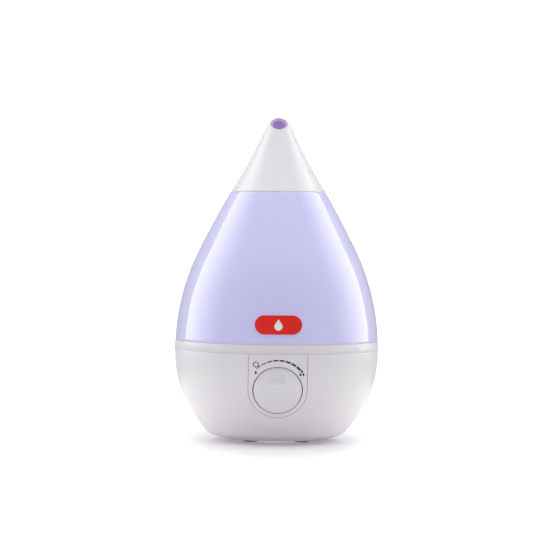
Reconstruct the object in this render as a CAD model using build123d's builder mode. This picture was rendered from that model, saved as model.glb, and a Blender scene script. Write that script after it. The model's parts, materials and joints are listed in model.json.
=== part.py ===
"""Teardrop cool mist humidifier: base with basin and mist generator, lift-off tank, turning mist nozzle.

Millimetres. +Z is up, the front is -Y, and the origin is at the centre of the resting plane.
"""

from build123d import *
from math import asin, cos, hypot, radians, sin, sqrt
import os

# Outer teardrop
body_radius = 108.0         # widest radius
widest_height = 97.0        # height of the widest point
bowl_arc_radius = 129.05    # side of the base, below the widest point
tank_arc_radius = 236.0     # side of the tank, from the widest point to the shoulder
shoulder_height = 200.0     # where the tank's side turns into the flatter flank
flank_arc_radius = 900.0
knuckle_height = 8.0        # lower end of the base's side
band_height = 96.0          # joint line between bowl and basin band
seam_height = 106.0         # joint line between base and tank
cone_seam_height = 262.9    # joint line between tank and nozzle cone
cone_arc_radius = 600.0     # hollow side of the nozzle cone
tip_height = 326.7          # centre of the nozzle's round tip
tip_radius = 13.4
wall = 2.5                  # bowl, basin and tank
cone_wall = 2.2

# Clearances
seam_gap = 0.5              # open line between two outer mouldings
fit_gap = 0.05              # between pieces fixed to each other
running_gap = 0.05          # radial, shafts in their bores
sliding_gap = 0.5           # radial, pieces that lift off or slide freely
trim_gap = 0.35             # open line round the control panel
cover_gap = 0.2             # open line round the bottom cover

# Underside
foot_height = 2.0           # from the resting plane to the flat of the bottom cover
foot_radius = 7.5
foot_recess = 1.0
foot_circle = 38.0          # radius on which the feet are set
flat_radius = 46.0          # flat middle of the bottom cover
lip_width = 1.4             # bowl's lip round the bottom cover
lip_depth = 0.5
cover_edge = 0.8            # cover's rim above the bowl's lower end
flange_width = 17.0         # inward flange of the bowl that the cover closes
screw_inset = 11.0          # axis of a cover screw inside the bowl's lip
cover_screw_radius = 1.5
cover_screw_length = 20.0
cover_screw_head = 3.2
cover_screw_head_height = 2.0
column_radius = 4.5
quarter_turn = 45.0         # first angle of the four-fold patterns

# Basin
deck_height = 77.0          # top of the basin floor
seat_height = 103.3         # shelf that the tank rests on
tub_radius = 88.5           # inner radius of the basin
tongue_depth = 4.0          # how far the basin reaches into the bowl
well_radius = 22.0
well_depth = 17.0
water_level = 86.0          # lower face of the tank cap

# Mist generator
disc_radius = 10.0
disc_thickness = 1.2
disc_ledge = 1.5            # how far each ring laps over the disc's edge
seal_lip = 2.5
clamp_lip = 3.0
seal_radius = 12.5
seal_height = 2.6
clamp_radius = 17.5
clamp_thickness = 2.0
clamp_screw_radius = 1.25
clamp_screw_head = 2.3
clamp_screw_head_height = 1.4
clamp_screw_circle = 15.0
clamp_screw_count = 3

# Air path
fan_offset = 44.0           # fan and air outlet, towards +X
fan_side = 50.0
fan_depth = 15.0
fan_bottom = 12.0
fan_bore = 22.5
fan_hole_spacing = 40.0
fan_screw_radius = 1.5
fan_screw_head = 2.85
fan_screw_head_height = 1.6
fan_screw_bite = 5.0         # thread in the cover's posts
fan_corner = 4.0
fan_spoke = 4.0
fan_hub_radius = 9.5
fan_blade_count = 7
fan_blade_pitch = 38.0      # degrees
fan_blade_thickness = 1.2
fan_blade_root = 0.5        # how far a blade starts inside the hub
fan_tip_gap = 1.0
fan_hub_round = 0.8
fan_axle_radius = 1.5
air_tube_radius = 13.0
air_tube_top = 97.0
duct_wall = 1.6
duct_overlap = 7.0
duct_inset = 14.0           # duct's foot, narrower than the fan
duct_corner = 6.0
slot_width = 4.4
slot_pitch = 6.6
slot_length = 32.0
slot_count = 5

# Float
float_offset = 46.0         # towards -X
float_radius = 13.0
float_height = 10.0
float_travel = 7.5
float_post_radius = 3.0
float_clip_height = 1.2
float_round = 1.5
clip_ring = 2.5             # width of the clip round the post
clip_mouth = 2.0
magnet_radius = 7.0
magnet_height = 4.0
magnet_cover = 1.0          # foam between magnet and post
reed_radius = 1.6
reed_length = 14.0
reed_lead_radius = 0.5
reed_lead_length = 20.0

# Dial
dial_height = 58.4
dial_tilt = 14.0            # how far the dial's face looks down
dial_radius = 25.0
dial_inset = 3.0            # edge of the dial's face behind the bowl's surface
dial_depth = 6.0
dial_crown = 6.0
dial_skin = 1.6
dial_rim_round = 1.6
dial_gap = 0.8
dimple_offset = 14.4
dimple_radius = 8.2
dimple_ball = 13.0
dial_rim_wall = 2.0
hub_radius = 5.5
hub_depth = 4.0
shaft_radius = 3.0
shaft_chamfer = 0.4
bushing_wall = 0.5
pot_radius = 8.5
pot_depth = 9.0
pot_end_wall = 1.0
pot_tag_width = 12.75       # plate of the potentiometer's three tags
pot_tag_height = 11.9
pot_tag_thickness = 2.0
pot_tag_corner = 1.0
nut_height = 2.0
nut_wall = 1.9
washer_height = 0.5
washer_width = 2.6
cup_floor = 2.0
cup_wall = 1.8
panel_half_width = 30.3
panel_lap = 2.0             # hidden border of the panel behind the bowl's wall

# Cord entry
gland_height = 24.0
gland_bore = 3.3
gland_radius = 5.4
gland_flange = 7.5
gland_flange_height = 1.6
gland_length = 15.0

# Tank
tank_floor_height = 112.0   # top of the tank's floor
foot_ring_width = 6.5       # ring that the tank stands on
chimney_radius = 16.0       # inner
chimney_wall = 2.0
chimney_bottom = 92.0
top_deck_depth = 6.0        # collar above the tank's top deck
cap_offset = 56.0           # filler neck and valve, towards +Y
neck_radius = 22.0          # inner
neck_bottom = 92.0
cap_wall = 3.0
cap_height = 20.0
cap_clearance = 0.4
cap_rib_count = 24
cap_rib_radius = 0.9
gasket_width = 3.6

# Tank valve
valve_hole = 6.0
stem_radius = 2.5
stem_reach = 6.0            # stem below the cap
valve_travel = 4.0          # how far the plunger moves
valve_gap = valve_travel + 2 * fit_gap  # seal above its seat while the tank is in place
valve_disc_radius = 9.0
valve_disc_height = 1.5
valve_seal_height = 1.0
guide_radius = 13.0
guide_wall = 2.0
guide_height = 17.5
guide_leg = 5.0
stem_proud = 3.0            # stem above the guide
stem_chamfer = 0.5
spring_radius = 5.2
spring_wire = 0.5
spring_turns = 5

# Lid and nozzle
lid_ring_wall = 3.0
lid_ring_height = 10.2
lid_clearance = 1.07        # between the ring's upper part and the cone
mouth_elevation = 46.0      # the mist leaves this far above horizontal
mouth_rim_radius = 9.6
mouth_radius = 8.0
mouth_depth = 4.0
liner_wall = 0.9
liner_setback = 0.8
liner_bend_radius = 12.2
liner_drop = 4.0
funnel_height = 22.0
funnel_wall = 1.44          # across the sloping wall

# Badge
badge_height = 126.5
badge_width = 48.4
badge_tall = 19.4
badge_thickness = 0.6
emblem_thickness = 0.2
emblem_radius = 4.2
emblem_tip = 11.5

# Boards
board_thickness = 1.6
board_height = 18.0
driver_board_size = (42.0, 56.0)
driver_board_place = (-42.0, 0.0)
power_board_size = (56.0, 26.0)
power_board_place = (0.0, -48.0)
board_hole_inset = 4.0
board_screw_radius = 1.2
board_screw_head = 2.28
board_screw_head_height = 1.3
board_screw_bite = 6.0       # thread in the cover's posts
board_corner = 2.0
standoff_radius = 2.8
heat_sink_size = (26.0, 30.0, 3.0)
fin_count = 6
fin_height = 12.0
fin_thickness = 1.4
sink_shift = 4.0            # heat sink off the board's middle
transformer_size = (26.0, 20.0, 20.0)
coil_step = 3.0             # winding's faces off the core's faces
coil_side = 4.0
transformer_round = 1.0
capacitor_radius = 5.0
capacitor_height = 18.0
capacitor_round = 0.8
capacitor_shift = 1.0       # towards the transformer

upright = (Align.CENTER, Align.CENTER, Align.MIN)
hanging = (Align.CENTER, Align.CENTER, Align.MAX)

# Sizes that follow from the ones above
half_gap = seam_gap / 2
bowl_top = band_height - half_gap
band_bottom = band_height + half_gap
band_top = seam_height - half_gap
tank_bottom = seam_height + half_gap
tank_top = cone_seam_height - half_gap
cone_bottom = cone_seam_height + half_gap
top_deck_height = cone_seam_height - top_deck_depth
deck_bottom = deck_height - wall
well_floor = deck_height - well_depth
well_bottom = well_floor - wall
cover_seat = knuckle_height + lip_depth
flange_top = cover_seat + wall
cover_inner = foot_height + wall
shoulder_angle = asin((shoulder_height - widest_height) / tank_arc_radius)


def four_corners(circle):
    """Four places on a circle, one in each quarter."""
    return PolarLocations(circle, 4, start_angle=quarter_turn)


def fan_corners():
    """Fixing holes of the fan about its middle."""
    return GridLocations(fan_hole_spacing, fan_hole_spacing, 2, 2)


def board_corners(size):
    """Fixing holes of a board about its middle."""
    return GridLocations(size[0] - 2 * board_hole_inset, size[1] - 2 * board_hole_inset, 2, 2)


boards = ((driver_board_place, driver_board_size), (power_board_place, power_board_size))


def bowl_radius(height, inset=0.0):
    """Radius of the base's side at a height, or of the surface that far inside it."""
    reach = bowl_arc_radius - inset
    return body_radius - bowl_arc_radius + sqrt(reach**2 - (height - widest_height) ** 2)


def shoulder_at(inset=0.0):
    """Height at which the tank's two arcs meet."""
    return widest_height + (tank_arc_radius - inset) * sin(shoulder_angle)


def tank_radius(height, inset=0.0):
    """Radius of the tank's side at a height, or of the surface that far inside it."""
    centre = body_radius - tank_arc_radius
    if height <= shoulder_at(inset):
        return centre + sqrt((tank_arc_radius - inset) ** 2 - (height - widest_height) ** 2)
    step = flank_arc_radius - tank_arc_radius
    flank_r = centre - step * cos(shoulder_angle)
    flank_z = widest_height - step * sin(shoulder_angle)
    return flank_r + sqrt((flank_arc_radius - inset) ** 2 - (height - flank_z) ** 2)


def cone_centre():
    """Centre, as radius and height, of the arc that is tangent to the tip and meets the tank's side."""
    seam_r = tank_radius(cone_seam_height)
    across = hypot(seam_r, tip_height - cone_seam_height)
    along_r = -seam_r / across
    along_z = (tip_height - cone_seam_height) / across
    reach = (cone_arc_radius**2 - (cone_arc_radius + tip_radius) ** 2 + across**2) / (2 * across)
    side = sqrt(cone_arc_radius**2 - reach**2)
    return seam_r + reach * along_r + side * along_z, cone_seam_height + reach * along_z - side * along_r


cone_r, cone_z = cone_centre()


def cone_radius(height, inset=0.0):
    """Radius of the nozzle cone at a height, or of the surface that far inside it."""
    return cone_r - sqrt((cone_arc_radius + inset) ** 2 - (height - cone_z) ** 2)


def side_arc(radius_at, start, end, inset=0.0):
    """Arc of an outline between two heights, on a side given by its radius function."""
    middle = (start + end) / 2
    ThreePointArc(
        (radius_at(start, inset), start),
        (radius_at(middle, inset), middle),
        (radius_at(end, inset), end),
    )


def tank_side(start, end, inset=0.0):
    """The tank's outline between two heights, as one arc each side of the shoulder."""
    shoulder = shoulder_at(inset)
    side_arc(tank_radius, start, shoulder, inset)
    side_arc(tank_radius, shoulder, end, inset)


def tip_arc(inset):
    """Round tip of the cone's outline, from its tangent point to the axis."""
    radius = tip_radius - inset
    tangent = asin((cone_z - tip_height) / hypot(cone_r, cone_z - tip_height))
    middle = (tangent + radians(90)) / 2
    ThreePointArc(
        (radius * cos(tangent), tip_height + radius * sin(tangent)),
        (radius * cos(middle), tip_height + radius * sin(middle)),
        (0, tip_height + radius),
    )
    return tip_height + radius * sin(tangent)


def tube(inner, outer, bottom, top):
    """Ring about the current location. Its bore is also cut through what is already there."""
    with Locations((0, 0, bottom)):
        Cylinder(outer, top - bottom, align=upright)
        Cylinder(inner, top - bottom, align=upright, mode=Mode.SUBTRACT)


def rounded_plate(size, thickness, radius):
    """Flat plate with rounded corners, standing on the current location."""
    Box(size[0], size[1], thickness, align=upright)
    corners = edges(Select.LAST).filter_by(Axis.Z)
    fillet(corners, radius)


def screws(locations, radius, length, head_radius, head_height, up=True):
    """Pan-head screws, each a solid of its own. The head lies below its location when up is true."""
    drive = head_radius * 0.3
    with locations:
        Cylinder(radius, length, align=upright if up else hanging)
        Cylinder(head_radius, head_height, align=hanging if up else upright)
    rims = edges().filter_by(GeomType.CIRCLE).group_by(Axis.Z)[0 if up else -1]
    fillet(rims, head_height * 0.35)
    with locations:
        with Locations((0, 0, -head_height if up else head_height)):
            Cylinder(drive, head_height * 0.6, align=upright if up else hanging, mode=Mode.SUBTRACT)


def save(piece, label):
    """Label a finished piece and write it as STEP."""
    piece.part.label = label
    export_step(piece.part, f"parts/{label}.step")


os.makedirs("parts", exist_ok=True)

# Planes of the dial and of the nozzle's mouth
dial_surface = bowl_radius(dial_height)
dial_normal = (0, -cos(radians(dial_tilt)), -sin(radians(dial_tilt)))
dial_plane = Plane(origin=(0, -dial_surface, dial_height), x_dir=(1, 0, 0), z_dir=dial_normal)
mouth_turn = radians(90 - mouth_elevation)
mouth_reach = sqrt(tip_radius**2 - mouth_rim_radius**2)
mouth_y = -mouth_reach * sin(mouth_turn)
mouth_z = tip_height + mouth_reach * cos(mouth_turn)
mouth_normal = (0, -sin(mouth_turn), cos(mouth_turn))
mouth_plane = Plane(origin=(0, mouth_y, mouth_z), x_dir=(1, 0, 0), z_dir=mouth_normal)
gland_angle = asin((widest_height - gland_height) / bowl_arc_radius)
gland_plane = Plane(
    origin=(0, bowl_radius(gland_height), gland_height),
    x_dir=(1, 0, 0),
    z_dir=(0, cos(gland_angle), -sin(gland_angle)),
)

# ---------------------------------------------------------------- base shells

lip_radius = bowl_radius(knuckle_height) - lip_width
flange_radius = lip_radius - flange_width
screw_circle = lip_radius - screw_inset
panel_reach = 20.0


def panel_outline(grow):
    """U shape round the dial: straight sides above its centre, half a circle below it."""
    half = panel_half_width + grow
    top = band_height - dial_height + panel_lap
    with BuildSketch(dial_plane) as outline:
        with BuildLine():
            Polyline((-half, 0), (-half, top), (half, top), (half, 0))
            ThreePointArc((half, 0), (0, -half), (-half, 0))
        make_face()
    return outline.sketch


with BuildPart() as bowl_housing:
    with BuildSketch(Plane.XZ):
        with BuildLine():
            side_arc(bowl_radius, knuckle_height, bowl_top)
            Line((bowl_radius(bowl_top), bowl_top), (bowl_radius(bowl_top, wall), bowl_top))
            side_arc(bowl_radius, bowl_top, flange_top, wall)
            Polyline(
                (bowl_radius(flange_top, wall), flange_top),
                (flange_radius, flange_top),
                (flange_radius, cover_seat),
                (lip_radius, cover_seat),
                (lip_radius, knuckle_height),
                (bowl_radius(knuckle_height), knuckle_height),
            )
        make_face()
    revolve(axis=Axis.Z)
    extrude(panel_outline(trim_gap), amount=panel_reach, both=True, mode=Mode.SUBTRACT)
    with four_corners(screw_circle):
        Cylinder(cover_screw_radius + sliding_gap / 2, 2 * flange_top, mode=Mode.SUBTRACT)
    with Locations((fan_offset, 0, cover_seat)):
        with fan_corners():
            Cylinder(standoff_radius + sliding_gap, wall, align=upright, mode=Mode.SUBTRACT)
    for place, size in boards:
        with Locations((*place, cover_seat)):
            with board_corners(size):
                Cylinder(standoff_radius + sliding_gap, wall, align=upright, mode=Mode.SUBTRACT)
    with BuildSketch(gland_plane):
        Circle(gland_radius + fit_gap)
    extrude(amount=gland_length / 2, both=True, mode=Mode.SUBTRACT)
save(bowl_housing, "bowl_housing")


def bowl_skin(outer_inset, inner_inset, top):
    """Part of the base's side between two depths, from the flange to a height."""
    with BuildPart() as skin:
        with BuildSketch(Plane.XZ):
            with BuildLine():
                side_arc(bowl_radius, flange_top, top, outer_inset)
                Line((bowl_radius(top, outer_inset), top), (bowl_radius(top, inner_inset), top))
                side_arc(bowl_radius, top, flange_top, inner_inset)
                Line(
                    (bowl_radius(flange_top, inner_inset), flange_top),
                    (bowl_radius(flange_top, outer_inset), flange_top),
                )
            make_face()
        revolve(axis=Axis.Z)
    return skin.part


cup_radius = dial_radius + dial_gap
cup_depth = dial_inset + dial_depth + dial_gap
bushing_radius = shaft_radius + running_gap + bushing_wall
lap_top = bowl_top - tongue_depth - seam_gap
with BuildPart() as panel_lap_border:
    extrude(panel_outline(panel_lap), amount=panel_reach, both=True)
    add(bowl_skin(wall + fit_gap, wall + fit_gap + cup_wall, lap_top), mode=Mode.INTERSECT)
with BuildPart() as dial_cup:
    with BuildSketch(dial_plane.offset(-cup_depth - cup_floor)):
        Circle(cup_radius + cup_wall)
    extrude(amount=2 * panel_reach)
    add(bowl_skin(wall / 2, panel_reach, bowl_top), mode=Mode.INTERSECT)
with BuildPart() as control_panel:
    extrude(panel_outline(0.0), amount=panel_reach, both=True)
    add(bowl_skin(0.0, wall + fit_gap, bowl_top), mode=Mode.INTERSECT)
    add(panel_lap_border.part)
    add(dial_cup.part)
    with BuildSketch(dial_plane.offset(-cup_depth)):
        Circle(cup_radius)
    extrude(amount=2 * panel_reach, mode=Mode.SUBTRACT)
    with BuildSketch(dial_plane.offset(-cup_depth - 2 * cup_floor)):
        Circle(bushing_radius + fit_gap)
    extrude(amount=4 * cup_floor, mode=Mode.SUBTRACT)
save(control_panel, "control_panel")

band_inner = bowl_radius(band_top) - wall
tongue_radius = bowl_radius(bowl_top - tongue_depth, wall) - sliding_gap / 2
tub_outer = tub_radius + wall
well_outer = well_radius + wall
seal_bottom = well_bottom - seal_height
with BuildPart() as water_basin:
    with BuildSketch(Plane.XZ):
        with BuildLine():
            side_arc(bowl_radius, band_bottom, band_top)
            Polyline(
                (bowl_radius(band_top), band_top),
                (band_inner, band_top),
                (band_inner, seat_height),
                (tub_radius, seat_height),
                (tub_radius, deck_height),
                (well_radius, deck_height),
                (well_radius, well_floor),
                (0, well_floor),
                (0, seal_bottom),
                (clamp_radius, seal_bottom),
                (clamp_radius, well_bottom),
                (well_outer, well_bottom),
                (well_outer, deck_bottom),
                (tub_outer, deck_bottom),
                (tub_outer, seat_height - wall),
                (tongue_radius - wall, seat_height - wall),
                (tongue_radius - wall, bowl_top - tongue_depth),
                (tongue_radius, bowl_top - tongue_depth),
                (tongue_radius, band_bottom),
                (bowl_radius(band_bottom), band_bottom),
            )
        make_face()
    revolve(axis=Axis.Z)
    with Locations((0, 0, seal_bottom)):
        Cylinder(seal_radius + fit_gap, seal_height, align=upright, mode=Mode.SUBTRACT)
        Cylinder(disc_radius - disc_ledge, seal_height + wall, align=upright, mode=Mode.SUBTRACT)
        with PolarLocations(clamp_screw_circle, clamp_screw_count):
            Cylinder(clamp_screw_radius + fit_gap, seal_height, align=upright, mode=Mode.SUBTRACT)
    with four_corners(screw_circle):
        with Locations((0, 0, flange_top)):
            Cylinder(column_radius, deck_bottom - flange_top, align=upright)
            Cylinder(
                cover_screw_radius + fit_gap,
                cover_screw_length,
                align=upright,
                mode=Mode.SUBTRACT,
            )
    with Locations((fan_offset, 0, 0)):
        tube(air_tube_radius, air_tube_radius + wall, deck_bottom - duct_overlap, air_tube_top)
    with Locations((-float_offset, 0, deck_height)):
        Cylinder(
            float_post_radius,
            float_height + float_travel + 3 * float_clip_height,
            align=upright,
        )
    with Locations((0, cap_offset, deck_height)):
        Cylinder(2 * stem_radius, water_level - stem_reach - deck_height, align=upright)
save(water_basin, "water_basin")

# ---------------------------------------------------------------- underside

cover_rim = lip_radius - cover_gap
dish_rise = knuckle_height - cover_edge
with BuildPart() as bottom_cover:
    with BuildSketch(Plane.XZ):
        with BuildLine():
            Line((0, foot_height), (flat_radius, foot_height))
            TangentArc((flat_radius, foot_height), (cover_rim, dish_rise), tangent=(1, 0))
            Polyline(
                (cover_rim, dish_rise),
                (cover_rim, cover_seat),
                (flange_radius, cover_seat),
                (flat_radius, cover_inner),
                (0, cover_inner),
                (0, foot_height),
            )
        make_face()
    revolve(axis=Axis.Z)
    with Locations((fan_offset, 0, cover_inner)):
        with fan_corners():
            Cylinder(standoff_radius, fan_bottom - cover_inner, align=upright)
            Cylinder(
                fan_screw_radius + fit_gap,
                fan_bottom - cover_inner,
                align=upright,
                mode=Mode.SUBTRACT,
            )
    for place, size in boards:
        with Locations((*place, foot_height + foot_recess)):
            with board_corners(size):
                Cylinder(
                    standoff_radius,
                    board_height - foot_height - foot_recess,
                    align=upright,
                )
        with Locations((*place, board_height)):
            with board_corners(size):
                Cylinder(board_screw_radius + fit_gap, board_height / 2, align=hanging, mode=Mode.SUBTRACT)
    with BuildSketch(Plane.XZ):
        with BuildLine():
            Line((0, foot_height), (flat_radius, foot_height))
            TangentArc((flat_radius, foot_height), (cover_rim, dish_rise), tangent=(1, 0))
            Polyline((cover_rim, dish_rise), (cover_rim, 0), (0, 0), (0, foot_height))
        make_face()
    revolve(axis=Axis.Z, mode=Mode.SUBTRACT)
    with four_corners(foot_circle):
        Cylinder(foot_radius + fit_gap, 2 * (foot_height + foot_recess), mode=Mode.SUBTRACT)
    with four_corners(screw_circle):
        Cylinder(cover_screw_radius + sliding_gap / 2, 2 * flange_top, mode=Mode.SUBTRACT)
        Cylinder(
            cover_screw_head + sliding_gap / 2,
            2 * (cover_seat - cover_screw_radius),
            mode=Mode.SUBTRACT,
        )
    with BuildSketch(Plane.XY):
        with Locations((fan_offset, 0)):
            with GridLocations(slot_pitch, 0, slot_count, 1):
                SlotOverall(slot_length, slot_width, rotation=90)
    extrude(amount=flange_top, mode=Mode.SUBTRACT)
save(bottom_cover, "bottom_cover")

with BuildPart() as rubber_feet:
    with four_corners(foot_circle):
        Cylinder(foot_radius, foot_height + foot_recess, align=upright)
    rims = rubber_feet.edges().filter_by(GeomType.CIRCLE).group_by(Axis.Z)[0]
    chamfer(rims, foot_height / 4)
save(rubber_feet, "rubber_feet")

with BuildPart() as cover_screws:
    head_seat = cover_seat - cover_screw_radius
    screws(
        four_corners(screw_circle),
        cover_screw_radius,
        cover_screw_length,
        cover_screw_head,
        cover_screw_head_height,
    )
cover_screws.part.position = (0, 0, head_seat)
save(cover_screws, "cover_screws")

with BuildPart() as cord_gland:
    with BuildSketch(gland_plane):
        Circle(gland_flange)
    extrude(amount=gland_flange_height)
    with BuildSketch(gland_plane.offset(gland_flange_height)):
        Circle(gland_radius)
    extrude(amount=-gland_length)
    outer_face = cord_gland.faces().sort_by(Axis(gland_plane.origin, gland_plane.z_dir))[-1]
    fillet(outer_face.edges(), gland_flange_height / 3)
    with BuildSketch(gland_plane.offset(gland_flange_height)):
        Circle(gland_bore)
    extrude(amount=-gland_length, mode=Mode.SUBTRACT)
save(cord_gland, "cord_gland")

# ---------------------------------------------------------------- mist generator

disc_bottom = seal_bottom + (seal_height - disc_thickness) / 2
with BuildPart() as transducer_seal:
    tube(disc_radius - seal_lip, seal_radius, seal_bottom, well_bottom)
    with Locations((0, 0, disc_bottom)):
        Cylinder(disc_radius, disc_thickness, align=upright, mode=Mode.SUBTRACT)
save(transducer_seal, "transducer_seal")

with BuildPart() as transducer_disc:
    with Locations((0, 0, disc_bottom)):
        Cylinder(disc_radius - fit_gap, disc_thickness, align=upright)
    chamfer(transducer_disc.edges().group_by(Axis.Z)[-1], disc_thickness / 6)
save(transducer_disc, "transducer_disc")

with BuildPart() as transducer_clamp:
    tube(disc_radius - clamp_lip, clamp_radius, seal_bottom - clamp_thickness, seal_bottom)
    with Locations((0, 0, seal_bottom)):
        with PolarLocations(clamp_screw_circle, clamp_screw_count):
            Hole(clamp_screw_radius + fit_gap)
save(transducer_clamp, "transducer_clamp")

with BuildPart() as clamp_screws:
    screws(
        PolarLocations(clamp_screw_circle, clamp_screw_count),
        clamp_screw_radius,
        clamp_thickness + seal_height - sliding_gap,
        clamp_screw_head,
        clamp_screw_head_height,
    )
clamp_screws.part.position = (0, 0, seal_bottom - clamp_thickness)
save(clamp_screws, "clamp_screws")

# ---------------------------------------------------------------- air path

fan_top = fan_bottom + fan_depth
with BuildPart() as fan_housing:
    with Locations((fan_offset, 0, fan_bottom)):
        rounded_plate((fan_side, fan_side), fan_depth, fan_corner)
        Cylinder(fan_bore, fan_depth, align=upright, mode=Mode.SUBTRACT)
        for turn in (0, 90):
            Box(2 * fan_bore + fan_tip_gap, fan_spoke, wall, align=upright, rotation=(0, 0, turn))
        Cylinder(fan_hub_radius, wall, align=upright)
        Cylinder(fan_axle_radius + running_gap, wall, align=upright, mode=Mode.SUBTRACT)
        with fan_corners():
            Cylinder(fan_screw_radius + fit_gap, fan_depth, align=upright, mode=Mode.SUBTRACT)
save(fan_housing, "fan_housing")

rotor_bottom = fan_bottom + wall + sliding_gap
rotor_top = fan_top - fan_tip_gap
blade_height = rotor_top - rotor_bottom - fan_tip_gap
blade_radius = fan_bore - fan_tip_gap
blade_length = blade_radius - fan_hub_radius - fan_blade_root
with BuildPart() as fan_rotor:
    with Locations((fan_offset, 0, 0)):
        with Locations((0, 0, rotor_bottom)):
            Cylinder(fan_hub_radius, rotor_top - rotor_bottom, align=upright)
            with PolarLocations((blade_radius + fan_hub_radius) / 2 - fan_blade_root, fan_blade_count):
                with Locations(Location((0, 0, (blade_height + fan_tip_gap) / 2), (fan_blade_pitch, 0, 0))):
                    Box(blade_length, blade_height * 1.1, fan_blade_thickness)
        with Locations((0, 0, fan_bottom)):
            Cylinder(fan_axle_radius, wall + 2 * sliding_gap, align=upright)
    fillet(fan_rotor.faces().sort_by(Axis.Z)[-1].edges(), fan_hub_round)
save(fan_rotor, "fan_rotor")

with BuildPart() as fan_screws:
    screws(
        fan_corners(),
        fan_screw_radius,
        fan_depth + fan_screw_bite,
        fan_screw_head,
        fan_screw_head_height,
        up=False,
    )
fan_screws.part.position = (fan_offset, 0, fan_top)
save(fan_screws, "fan_screws")

duct_bottom = fan_top + 2 * fit_gap
duct_neck = deck_bottom - duct_overlap
duct_inner = air_tube_radius + wall + fit_gap
duct_foot = fan_side - duct_inset
duct_bore = duct_foot - 2 * duct_wall
with BuildPart() as air_duct:
    with BuildSketch(Plane.XY.offset(duct_bottom)):
        with Locations((fan_offset, 0)):
            RectangleRounded(duct_foot, duct_foot, duct_corner)
    with BuildSketch(Plane.XY.offset(duct_neck)):
        with Locations((fan_offset, 0)):
            Circle(duct_inner + duct_wall)
    loft()
    with Locations((fan_offset, 0, duct_neck)):
        Cylinder(duct_inner + duct_wall, duct_overlap - wall, align=upright)
        Cylinder(duct_inner, duct_overlap - wall, align=upright, mode=Mode.SUBTRACT)
    with BuildSketch(Plane.XY.offset(duct_bottom)):
        with Locations((fan_offset, 0)):
            RectangleRounded(duct_bore, duct_bore, duct_corner - duct_wall)
    with BuildSketch(Plane.XY.offset(duct_neck)):
        with Locations((fan_offset, 0)):
            Circle(air_tube_radius)
    loft(mode=Mode.SUBTRACT)
save(air_duct, "air_duct")

# ---------------------------------------------------------------- float and level switch

float_rest = deck_height + sliding_gap / 2
magnet_bottom = float_rest + float_round
magnet_top = magnet_bottom + magnet_height
magnet_inner = float_post_radius + sliding_gap + magnet_cover
with BuildPart() as magnet_pocket:
    with Locations((-float_offset, 0, 0)):
        tube(magnet_inner, magnet_radius, magnet_bottom, magnet_top)
with BuildPart() as float_ring:
    with Locations((-float_offset, 0, 0)):
        tube(float_post_radius + sliding_gap, float_radius, float_rest, float_rest + float_height)
    rims = float_ring.edges().filter_by(GeomType.CIRCLE)
    fillet(rims.filter_by(lambda edge: edge.radius > magnet_radius), float_round)
    add(magnet_pocket.part, mode=Mode.SUBTRACT)
save(float_ring, "float_ring")

with BuildPart() as float_magnet:
    with Locations((-float_offset, 0, 0)):
        tube(
            magnet_inner + fit_gap,
            magnet_radius - fit_gap,
            magnet_bottom + fit_gap,
            magnet_top - fit_gap,
        )
save(float_magnet, "float_magnet")

clip_bottom = float_rest + float_height + float_travel + fit_gap
with BuildPart() as float_clip:
    with Locations((-float_offset, 0, 0)):
        tube(
            float_post_radius + fit_gap,
            float_post_radius + clip_ring,
            clip_bottom,
            clip_bottom + float_clip_height,
        )
    with Locations((-float_offset - float_post_radius, 0, clip_bottom)):
        Box(
            4 * float_post_radius,
            clip_mouth,
            float_clip_height,
            align=(Align.MAX, Align.CENTER, Align.MIN),
            mode=Mode.SUBTRACT,
        )
save(float_clip, "float_clip")

with BuildPart() as level_switch:
    with Locations(Location((-float_offset, 0, deck_bottom - reed_radius - fit_gap), (0, 90, 0))):
        Cylinder(reed_radius, reed_length)
        Cylinder(reed_lead_radius, reed_lead_length)
save(level_switch, "level_switch")

# ---------------------------------------------------------------- dial

face_plane = dial_plane.offset(-dial_inset)
back_plane = face_plane.offset(-dial_depth)
shaft_start = dial_inset + dial_skin + fit_gap
shaft_end = cup_depth + cup_floor + fit_gap + pot_depth - pot_end_wall - seam_gap
with BuildPart() as dial_blank:
    with BuildSketch(Plane.XZ) as dial_profile:
        with BuildLine():
            Line((0, 0), (0, dial_depth + dial_crown))
            ThreePointArc(
                (0, dial_depth + dial_crown),
                (dial_radius / 2, dial_depth + dial_crown * 3 / 4),
                (dial_radius, dial_depth),
            )
            Polyline((dial_radius, dial_depth), (dial_radius, 0), (0, 0))
        make_face()
        fillet(dial_profile.vertices().sort_by(Axis.X)[-2:].sort_by(Axis.Y)[-1], dial_rim_round)
    revolve(axis=Axis.Z)
    Cylinder(dial_radius - dial_rim_wall, dial_depth - dial_skin, align=upright, mode=Mode.SUBTRACT)
    with Locations((0, 0, dial_depth - hub_depth)):
        Cylinder(hub_radius, hub_depth - dial_skin, align=upright)
        Cylinder(shaft_radius + fit_gap, hub_depth - dial_skin, align=upright, mode=Mode.SUBTRACT)
    dimple_rise = dial_depth + dial_crown * (1 - (dimple_offset / dial_radius) ** 2)
    with Locations((0, dimple_offset, dimple_rise + sqrt(dimple_ball**2 - dimple_radius**2))):
        Sphere(dimple_ball, mode=Mode.SUBTRACT)
with BuildPart() as dial_knob:
    add(back_plane.location * dial_blank.part)
save(dial_knob, "dial_knob")

with BuildPart() as dial_shaft:
    with BuildSketch(dial_plane.offset(-shaft_start)):
        Circle(shaft_radius)
    extrude(amount=shaft_start - shaft_end)
    chamfer(dial_shaft.edges().filter_by(GeomType.CIRCLE), shaft_chamfer)
save(dial_shaft, "dial_shaft")

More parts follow.
